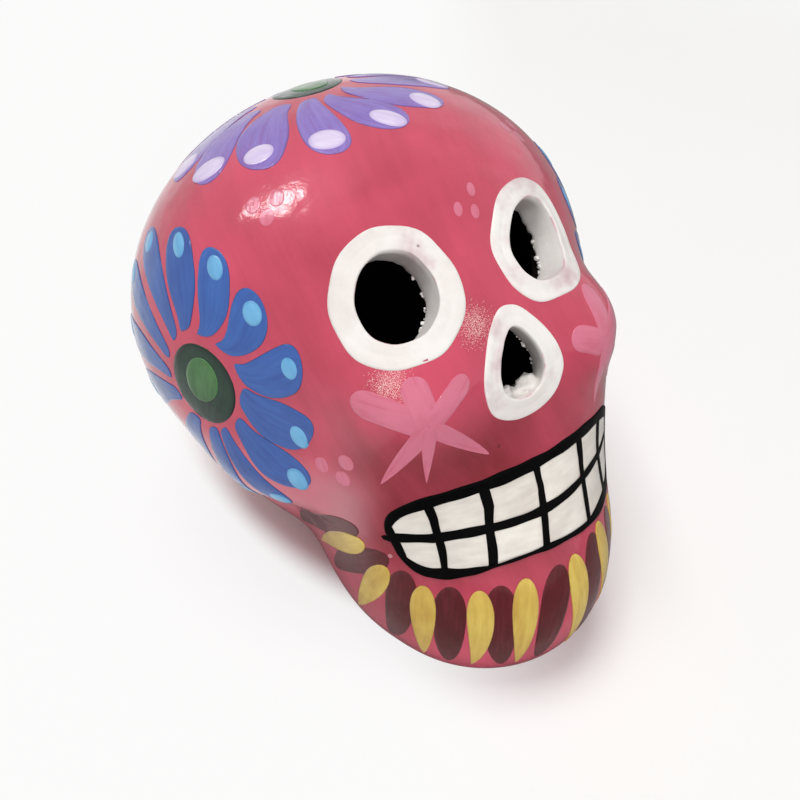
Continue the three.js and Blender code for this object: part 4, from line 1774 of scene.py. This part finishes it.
@dataclass
class Crumbs:
    """Crumbs of slip that hang on a collar's ragged inner edge, strewn by geometry nodes."""

    name: str
    edge: Array
    finish: Paint
    size: float = 0.75
    strew: float = 0.25
    seed: int = 3
    stroke_shift: float = -200.0

    def tree(self) -> Tree:
        """Builds the node tree that strews lumps along an edge.

        Returns:
            The tree, with inputs for the size, strewing, seed and slip.
        """
        inputs = {"Edge": "Geometry", "Size": "Float", "Strew": "Float", "Seed": "Int", "Slip": "Material"}
        nodes, entry, result = node_group("Geometry", self.name + "_nodes", inputs, ("Crumbs",), "Geometry")
        edge, size, strew, seed, slip = (entry.outputs[label] for label in inputs)
        curve = nodes.add("GeometryNodeMeshToCurve", {0: edge}).outputs[0]
        points = nodes.add("GeometryNodeCurveToPoints", {"Curve": curve}, mode="EVALUATED").outputs[0]
        chance, vectors = "FunctionNodeRandomValue", {"data_type": "FLOAT_VECTOR"}
        shift = nodes.add(chance, {"Min": (-1, -1, -1), "Max": (1, 1, 1), "Seed": seed}, **vectors).outputs[0]
        turn = nodes.add(chance, {"Max": (PHASE, PHASE, PHASE), "Seed": seed}, **vectors).outputs[0]
        luck = nodes.add(chance, {"Seed": seed}, data_type="FLOAT").outputs[1]
        offset = nodes.scaled(shift, strew)
        loose = nodes.add("GeometryNodeSetPosition", {"Geometry": points, "Offset": offset}).outputs[0]
        scale = nodes.times(nodes.plus(nodes.math("POWER", luck, 3.0), 0.22), size)
        lump = nodes.add("GeometryNodeMeshIcoSphere", {"Radius": 1.0, "Subdivisions": 3}).outputs[0]
        placing = {"Points": loose, "Instance": lump, "Rotation": turn, "Scale": scale}
        placed = nodes.add("GeometryNodeInstanceOnPoints", placing)
        real = nodes.add("GeometryNodeRealizeInstances", {0: placed.outputs[0]}).outputs[0]
        bumps = nodes.noise(nodes.add("GeometryNodeInputPosition").outputs[0], 1500.0)
        push = nodes.times(nodes.math("SUBTRACT", bumps, 0.5), nodes.times(size, 1.6))
        offset = nodes.scaled(nodes.add("GeometryNodeInputNormal").outputs[0], push)
        rough = nodes.add("GeometryNodeSetPosition", {"Geometry": real, "Offset": offset}).outputs[0]
        coated(nodes, rough, slip, result)
        return nodes.tree

    def build(self) -> None:
        """Builds the crumbs as one plain mesh."""
        piece = object_from(self.name, self.edge, [])
        count = len(self.edge) - 1
        piece.data.edges.add(count)
        ends = np.stack([np.arange(count), np.arange(count) + 1], axis=1)
        piece.data.edges.foreach_set("vertices", ends.astype(np.int32).ravel())
        values = {"Size": self.size * MM, "Strew": self.strew * MM, "Seed": self.seed, "Slip": self.finish}
        grow(piece, self.tree(), values)
        set_stroke(piece, read(piece.data.vertices, "co", 3)[:, :2] / MM + self.stroke_shift)
        settle(piece, "white_slip")


@dataclass
class JawFringe:
    """The fringe of strokes under the mouth: pale drops between dark ones."""

    drops: tuple[tuple[Point, ...], ...] = (
        ((-31.6, -31.0, 37.2), (-32.2, -23.4, 30.9), (-30.1, -12.9, 20.4)),
        ((-29.6, -35.6, 33.2), (-30.5, -33.1, 25.9), (-29.4, -26.4, 11.6)),
        ((-25.0, -42.2, 31.0), (-25.6, -43.6, 22.5), (-23.4, -42.2, 8.0)),
        ((-17.1, -49.7, 31.6), (-17.6, -52.0, 23.5), (-17.4, -50.6, 8.6)),
        ((-8.6, -53.6, 33.4), (-9.9, -56.3, 25.0), (-9.8, -55.8, 9.4)),
        ((3.0, -54.6, 34.0), (3.2, -58.3, 24.0), (2.2, -58.0, 9.6)),
        ((13.0, -50.8, 34.3), (13.4, -54.0, 24.5), (13.2, -53.6, 10.0)),
        ((22.0, -45.4, 32.2), (22.4, -46.6, 22.5), (20.8, -46.0, 8.4)),
        ((28.4, -37.6, 32.6), (28.8, -37.4, 23.0), (27.0, -35.0, 9.0)),
        ((31.6, -31.0, 37.2), (32.2, -23.4, 30.9), (30.1, -12.9, 20.4)),
    )
    shades: tuple[tuple[Point, ...], ...] = (
        ((-32.2, -29.8, 40.4), (-33.1, -20.2, 33.7), (-28.2, -1.2, 15.0)),
        ((-29.2, -35.7, 36.0), (-31.6, -29.8, 30.6), (-31.0, -19.4, 18.0)),
        ((-27.4, -38.6, 33.4), (-28.2, -39.2, 24.0), (-26.8, -34.8, 9.0)),
        ((-21.2, -46.0, 31.8), (-22.2, -47.8, 22.5), (-20.6, -46.8, 8.2)),
        ((-13.3, -51.8, 32.6), (-14.4, -54.3, 23.5), (-12.4, -54.6, 9.0)),
        ((-0.8, -55.0, 33.8), (-3.8, -58.0, 25.1), (-5.2, -57.6, 9.4)),
        ((10.2, -52.4, 34.2), (7.8, -56.5, 25.0), (6.4, -57.2, 9.4)),
        ((18.4, -48.2, 33.0), (18.2, -50.4, 22.0), (16.8, -50.0, 8.4)),
        ((25.8, -41.6, 32.2), (26.0, -42.4, 22.0), (24.4, -40.6, 8.8)),
        ((29.6, -35.2, 36.0), (31.6, -29.8, 30.6), (31.0, -19.4, 18.0)),
        ((32.2, -29.8, 40.4), (33.1, -20.2, 33.7), (28.2, -1.2, 15.0)),
    )
    drop_width: float = 5.6
    shade_width: float = 7.0

    def build(self, finishes: Finishes) -> None:
        """Builds the dark strokes, then the pale ones over them.

        Args:
            finishes: The paints.
        """
        for number, guides in enumerate(self.shades):
            stroke = Stroke(guides, self.shade_width, head=0.28, tail=0.72, point=0.25)
            name = f"jaw_shade_{number + 1:02d}"
            stroke.paint(name, 0.1, finishes.paints["wine"], tone=0.31 * number % 1)
        for number, guides in enumerate(self.drops):
            stroke = Stroke(guides, self.drop_width, head=0.26, tail=0.7, point=0.9)
            name = f"jaw_drop_{number + 1:02d}"
            stroke.paint(name, 0.24, finishes.paints["yellow"], tone=0.43 * number % 1)


@dataclass
class CheekStar:
    """A star of loose strokes on a cheek, each with its end, width, length of tail and point."""

    name: str
    middle: Point
    arms: tuple[tuple[Point, float, float, float], ...]

    def build(self, finishes: Finishes) -> None:
        """Builds the star's arms from its middle outwards.

        Args:
            finishes: The paints.
        """
        for number, (end, width, tail, point) in enumerate(self.arms):
            stroke = Stroke((self.middle, end), width, head=0.16, tail=tail, point=point)
            stroke.paint(f"cheek_star_{self.name}_{number + 1}", 0.1 + 0.01 * number, finishes.paints["rose"])


@dataclass
class PinkDots:
    """Groups of three pink dots on the brow and, on both sides, on the temples and cheeks."""

    brow: tuple[Point, ...] = ((6.5, -9.6, 93.7), (1.6, -12.1, 92.1), (5.0, -13.1, 91.1))
    temple: tuple[Point, ...] = ((-30.9, 7.6, 93.3), (-27.2, 5.3, 94.8), (-30.2, 3.9, 92.4))
    cheek: tuple[Point, ...] = ((-35.2, -21.7, 52.9), (-32.8, -26.4, 56.0), (-33.3, -26.1, 51.8))
    brow_size: tuple[float, float] = (1.5, 0.95)
    temple_size: tuple[float, float] = (1.75, 1.4)
    cheek_size: tuple[float, float] = (1.7, 1.8)
    lean: Point = (0.4, 0.52, 0.76)
    height: float = 0.06

    def build(self, finishes: Finishes) -> None:
        """Builds all the dots as one piece.

        Args:
            finishes: The paints.
        """
        guides = np.array(self.brow + self.temple + self.cheek)
        mirrored = guides[len(self.brow):] * [-1, 1, 1]
        places = FORM.cast(np.concatenate([guides, mirrored]))
        out = FORM.normal(places)
        lean = np.tile(self.lean, (len(places), 1))
        lean[len(guides):, 0] *= -1
        ways = unit(lean - out * row_dots(out, lean)[:, None])
        sided = [self.temple_size] * len(self.temple) + [self.cheek_size] * len(self.cheek)
        sizes = np.array([self.brow_size] * len(self.brow) + 2 * sided)
        Dabs("pink_dots", finishes.paints["rose"], "painted_clay", places, ways, sizes, self.height).build()


@dataclass(frozen=True)
class Lamp:
    """An oblong lamp that faces the skull, in metres and watts.

    A mirrored lamp shows in the varnish, and sheds no other light.
    """

    name: str
    way: Point
    distance: float
    size: tuple[float, float]
    power: float
    mirrored: bool = False
    colour: Colour = (255, 254, 252)
    aim: Point = (0.0, 0.0, 0.06)

    def hang(self) -> None:
        """Hangs the lamp."""
        data = bpy.data.lights.new(self.name, "AREA")
        data.shape, data.size, data.size_y = "RECTANGLE", *self.size
        data.energy, data.color = self.power, linear(self.colour)[:3]
        lamp = bpy.data.objects.new(self.name, data)
        direction = Vector(self.way).normalized()
        lamp.location = Vector(self.aim) + direction * self.distance
        lamp.rotation_mode = "QUATERNION"
        lamp.rotation_quaternion = direction.to_track_quat("Z", "Y")
        lamp.visible_glossy, lamp.visible_diffuse = self.mirrored, not self.mirrored
        bpy.context.scene.collection.objects.link(lamp)


@dataclass
class Studio:
    """The pale floor, soft lamps and the camera."""

    target: Point = (1.65, 3.2, 33.67)
    azimuth: float = -37.22
    elevation: float = 40.88
    distance: float = 244.18
    focal: float = 1050.71
    image: float = 800.0
    roll: float = 2.65
    sensor: float = 36.0
    sky: float = 0.18
    mirrored_sky: float = 0.8
    white: float = 0.97
    floor_half: float = 3000.0
    floor_tones: tuple[Colour, Colour] = ((249, 249, 249), (252, 252, 252))
    open_way: Point = (-0.8, 0.6, 0.0)
    # the oval beyond which the floor's shadow is painted out with white
    shadow_scale: Point = (31.25, 15.6, 0.0)
    shadow_shift: Point = (0.0, -0.47, 0.0)
    lamps: tuple[Lamp, ...] = (
        Lamp("softbox", (-0.12, 0.08, 1.0), 2.0, (1.1, 1.1), 31.5),
        Lamp("front", (-0.3, -0.9, 0.4), 3.0, (1.4, 1.4), 34.0),
        Lamp("window_left", (-0.569, 0.371, 0.867), 1.0, (0.08, 0.15), 0.9, True),
        Lamp("window_right", (-0.322, 0.183, 0.867), 1.0, (0.13, 0.2), 2.1, True),
    )

    def camera(self) -> None:
        """Places the camera at the photograph's view."""
        a, e, roll = (math.radians(angle) for angle in (self.azimuth, self.elevation, self.roll))
        back = np.array([math.sin(a) * math.cos(e), -math.cos(a) * math.cos(e), math.sin(e)])
        right = np.array([math.cos(a), math.sin(a), 0.0])
        up = np.cross(back, right)
        right, up = (
            math.cos(roll) * right + math.sin(roll) * up, -math.sin(roll) * right + math.cos(roll) * up
        )
        place = (np.array(self.target) + back * self.distance) * MM
        data = bpy.data.cameras.new("camera")
        data.sensor_fit, data.sensor_width = "HORIZONTAL", self.sensor
        data.lens = self.focal / self.image * self.sensor
        data.clip_start, data.clip_end = 0.01, 50.0
        camera = bpy.data.objects.new("camera", data)
        rows = np.vstack([np.column_stack([right, up, back, place]), [0, 0, 0, 1]])
        camera.matrix_world = Matrix(rows.tolist())
        bpy.context.scene.collection.objects.link(camera)
        bpy.context.scene.camera = camera

    def floor(self) -> None:
        """Lays the pale floor. Its colour carries painted light: to the camera it is painted white beyond an
        oval round the skull, over the rest of the skull's shadow, fully on the left and little on the right;
        in the varnish it shows white beyond that oval on the left.
        """
        half = self.floor_half
        corners = np.array([(-half, -half, 0), (half, -half, 0), (half, half, 0), (-half, half, 0)])
        floor = object_from("floor", corners, [(0, 1, 2, 3)])
        material = bpy.data.materials.new("pale_floor")
        material.use_nodes = True
        material.node_tree.nodes.clear()
        nodes = Nodes(material.node_tree)
        place = nodes.place()
        colour = nodes.mix(nodes.noise(place, 14.0), *map(linear, self.floor_tones))
        rays = nodes.add("ShaderNodeLightPath").outputs
        leftward = nodes.vector("DOT_PRODUCT", place, self.open_way)
        # Painted shade in reflections: to glossy rays the floor is darkened, by 65 percent towards the right
        # down to 20 percent on the left.
        shade = nodes.times(rays["Is Glossy Ray"], nodes.span(leftward, -0.02, 0.09, 0.65, 0.2))
        matt = nodes.add("ShaderNodeBsdfDiffuse", {0: nodes.mix(shade, colour, BLACK)})
        oval = nodes.vector("MULTIPLY_ADD", place, self.shadow_scale, self.shadow_shift)
        away = nodes.vector("LENGTH", oval)
        open_side = nodes.span(leftward, -0.055, 0.0, 0.1, 1.0)
        # Painted light: beyond the oval the floor is painted white to the camera over the skull's shadow,
        # fully on the left and little on the right; far off it turns white everywhere.
        pale = nodes.times(nodes.span(away, 0.87, 1.15, 0.0, 0.87), open_side)
        pale = nodes.math("MAXIMUM", pale, nodes.span(away, 6.0, 18.0))
        # Painted reflection: on the left, glossy rays see the painted white floor as well.
        painted_flank_white = nodes.times(rays["Is Glossy Ray"], nodes.span(leftward, 0.022, 0.05))
        painted_white_share = nodes.times(nodes.math("ADD", rays["Is Camera Ray"], painted_flank_white, True), pale)
        white = nodes.add("ShaderNodeEmission", {0: WHITE, 1: self.white})
        both = nodes.add("ShaderNodeMixShader", {0: painted_white_share, 1: matt.outputs[0], 2: white.outputs[0]})
        nodes.add("ShaderNodeOutputMaterial", {0: both.outputs[0]})
        floor.data.materials.append(material)

    def world(self) -> None:
        """Fills the room with soft pale light."""
        world = bpy.data.worlds.new("room")
        bpy.context.scene.world = world
        world.use_nodes = True
        world.node_tree.nodes.clear()
        nodes = Nodes(world.node_tree)
        rays = nodes.add("ShaderNodeLightPath").outputs
        seen = nodes.math("ADD", rays["Is Camera Ray"], rays["Is Transmission Ray"], True)
        level = nodes.plus(nodes.times(rays["Is Glossy Ray"], self.mirrored_sky - self.sky), self.sky)
        soft = nodes.add("ShaderNodeBackground", {0: WHITE, 1: level})
        white = nodes.add("ShaderNodeBackground", {0: WHITE, 1: self.white})
        both = nodes.add("ShaderNodeMixShader", {0: seen, 1: soft.outputs[0], 2: white.outputs[0]})
        nodes.add("ShaderNodeOutputWorld", {0: both.outputs[0]})

    def build(self) -> None:
        """Sets up the floor, light and camera."""
        bpy.context.scene.view_settings.view_transform = "Standard"
        self.floor()
        self.world()
        self.camera()
        for lamp in self.lamps:
            lamp.hang()


SIDE_PETALS = (
    Petal((-22, 8.4), (-25.5, 29.4), 9.4, 1.7), Petal((27, 8.2), (3, 23.9), 12.0),
    Petal((57, 8.9), (46, 22.6), 9.9, 2.5), Petal((86, 8.9), (81, 21.4), 7.4, 2.6),
    Petal((109.5, 8.7), (107.5, 22.8), 6.7, 2.4), Petal((130.5, 8.8), (129, 24.8), 6.6, 1.5),
    Petal((150, 8.0), (149.5, 27.8), 5.3, 1.3), Petal((179, 7.7), (167, 28), 5.4, 0.8),
    Petal((206, 8.1), (190, 28), 5.8, 0.8), Petal((232, 8.4), (215, 28), 7.0, 0.8),
    Petal((262, 9.0), (257, 29), 8.0, 1.0), Petal((289, 9.2), (289, 30), 7.0, 1.0),
    Petal((306, 8.9), (313, 32), 6.4, 1.5),
)
TOP_PETALS = (
    Petal((-16, 11.0), (-9, 34), 8.4, 1.5), Petal((5, 12.0), (11, 33.8), 9.0, 1.7),
    Petal((38, 10.2), (34, 30.2), 11.6, 1.8), Petal((65.5, 9.4), (67.5, 28.5), 9.6, 1.3),
    Petal((86, 9.6), (106, 27.5), 9.4, 2.4), Petal((113, 8.8), (136, 29.5), 8.5, 3.0),
    Petal((145, 9.0), (164, 31), 8.8), Petal((172, 9.0), (190, 31), 9.0), Petal((199, 9.0), (216, 31), 9.0),
    Petal((226, 9.0), (243, 31), 9.0), Petal((253, 9.0), (270, 31), 9.0), Petal((281, 9.0), (297, 32), 9.0),
    Petal((310, 9.5), (324, 34), 9.0),
)
SIDE_GUIDE = (-47.7, 0.6, 63.2)
OPENINGS = (
    Opening("eye_ring_right", (-17.2, -19.2, 83.3), 15.2, 17.6, 4.9, slant=(-0.36, 0.0)),
    Opening("eye_ring_left", (17.3, -19.2, 85.2), 20.6, 13.6, 4.3, -0.08, 21.0, slant=(0.05, 0.25)),
    Opening("nose_ring", (0.8, -34.6, 70.9), 9.8, 14.0, 4.2, 0.34, slant=(0.25, -0.3), uneven=0.16),
)
COLLAR_SEEDS = (20, 27, 34)
CRUMBS = (
    ("eye_crumbs_right", 0, (-75, 55, 0.97, 26), 0.38),
    ("eye_crumbs_left", 1, (-110, -40, 0.96, 16), 0.45),
    ("nose_crumbs", 2, (-60, 60, 0.96, 14), 0.42),
    ("nose_lumps", 2, (-135, -50, 0.6, 9), 2.5),
)
STAR_RIGHT = CheekStar("right", (-22.0, -37.0, 67.6), (
    ((-31.2, -25.2, 70.2), 5.4, 0.25, 0.0),
    ((-22.4, -31.0, 75.2), 5.4, 0.25, 0.0),
    ((-12.0, -34.4, 73.2), 4.3, 0.25, 0.0),
    ((-9.0, -39.4, 56.2), 3.6, 0.95, 0.35),
    ((-29.0, -32.4, 53.4), 4.2, 0.95, 0.6),
    ((-21.8, -37.0, 53.4), 3.0, 0.95, 0.7),
))
STAR_LEFT = CheekStar("left", (21.2, -37.0, 68.0), (
    ((21.6, -28.2, 77.2), 5.0, 0.3, 0.0),
    ((13.0, -35.2, 72.3), 5.4, 0.3, 0.0),
    ((31.2, -25.2, 70.2), 5.4, 0.25, 0.0),
    ((20.6, -37.4, 53.4), 3.8, 0.8, 0.7),
    ((29.0, -32.4, 53.4), 5.0, 0.8, 0.7),
))


def flowers() -> list[Flower]:
    """Lists the skull's flowers.

    Returns:
        The two on the sides, then the one on top.
    """
    sides = [
        Flower(
            side.name.lower(), SIDE_GUIDE, UP, SIDE_PETALS, "blue", "blue_paint",
            mirror=side is Side.LEFT, centre=(13.5, 15.8), centre_drop=0.75,
        )
        for side in Side
    ]
    top = Flower(
        "top", (-4.5, 31.4, 100.5), FRONT, TOP_PETALS, "purple", "purple_paint",
        tip_size=(3.5, 2.6), tip_inset=4.0, tip_way=143.0,
    )
    return [*sides, top]


def main() -> None:
    """Builds the skull's pieces in order, then the studio round it."""
    logging.basicConfig(level=logging.INFO, format="%(message)s")
    finishes = Finishes()
    body = HollowBody(OPENINGS)
    for half in Half:
        body.build_half(half, finishes)
    for opening, seed in zip(OPENINGS, COLLAR_SEEDS):
        opening.build(finishes.slip, seed)
    for name, number, arc, size in CRUMBS:
        Crumbs(name, OPENINGS[number].inner_edge(*arc), finishes.slip, size).build()
    Mouth().build(finishes)
    for flower in flowers():
        flower.build(finishes)
        tip = "lilac" if flower.paint == "purple" else "sky"
        Dabs(f"petal_tips_{flower.name}", finishes.paints[tip], flower.slot, *flower.tips()).build()
    JawFringe().build(finishes)
    STAR_RIGHT.build(finishes)
    STAR_LEFT.build(finishes)
    PinkDots().build(finishes)
    Studio().build()


if __name__ == "__main__":
    main()
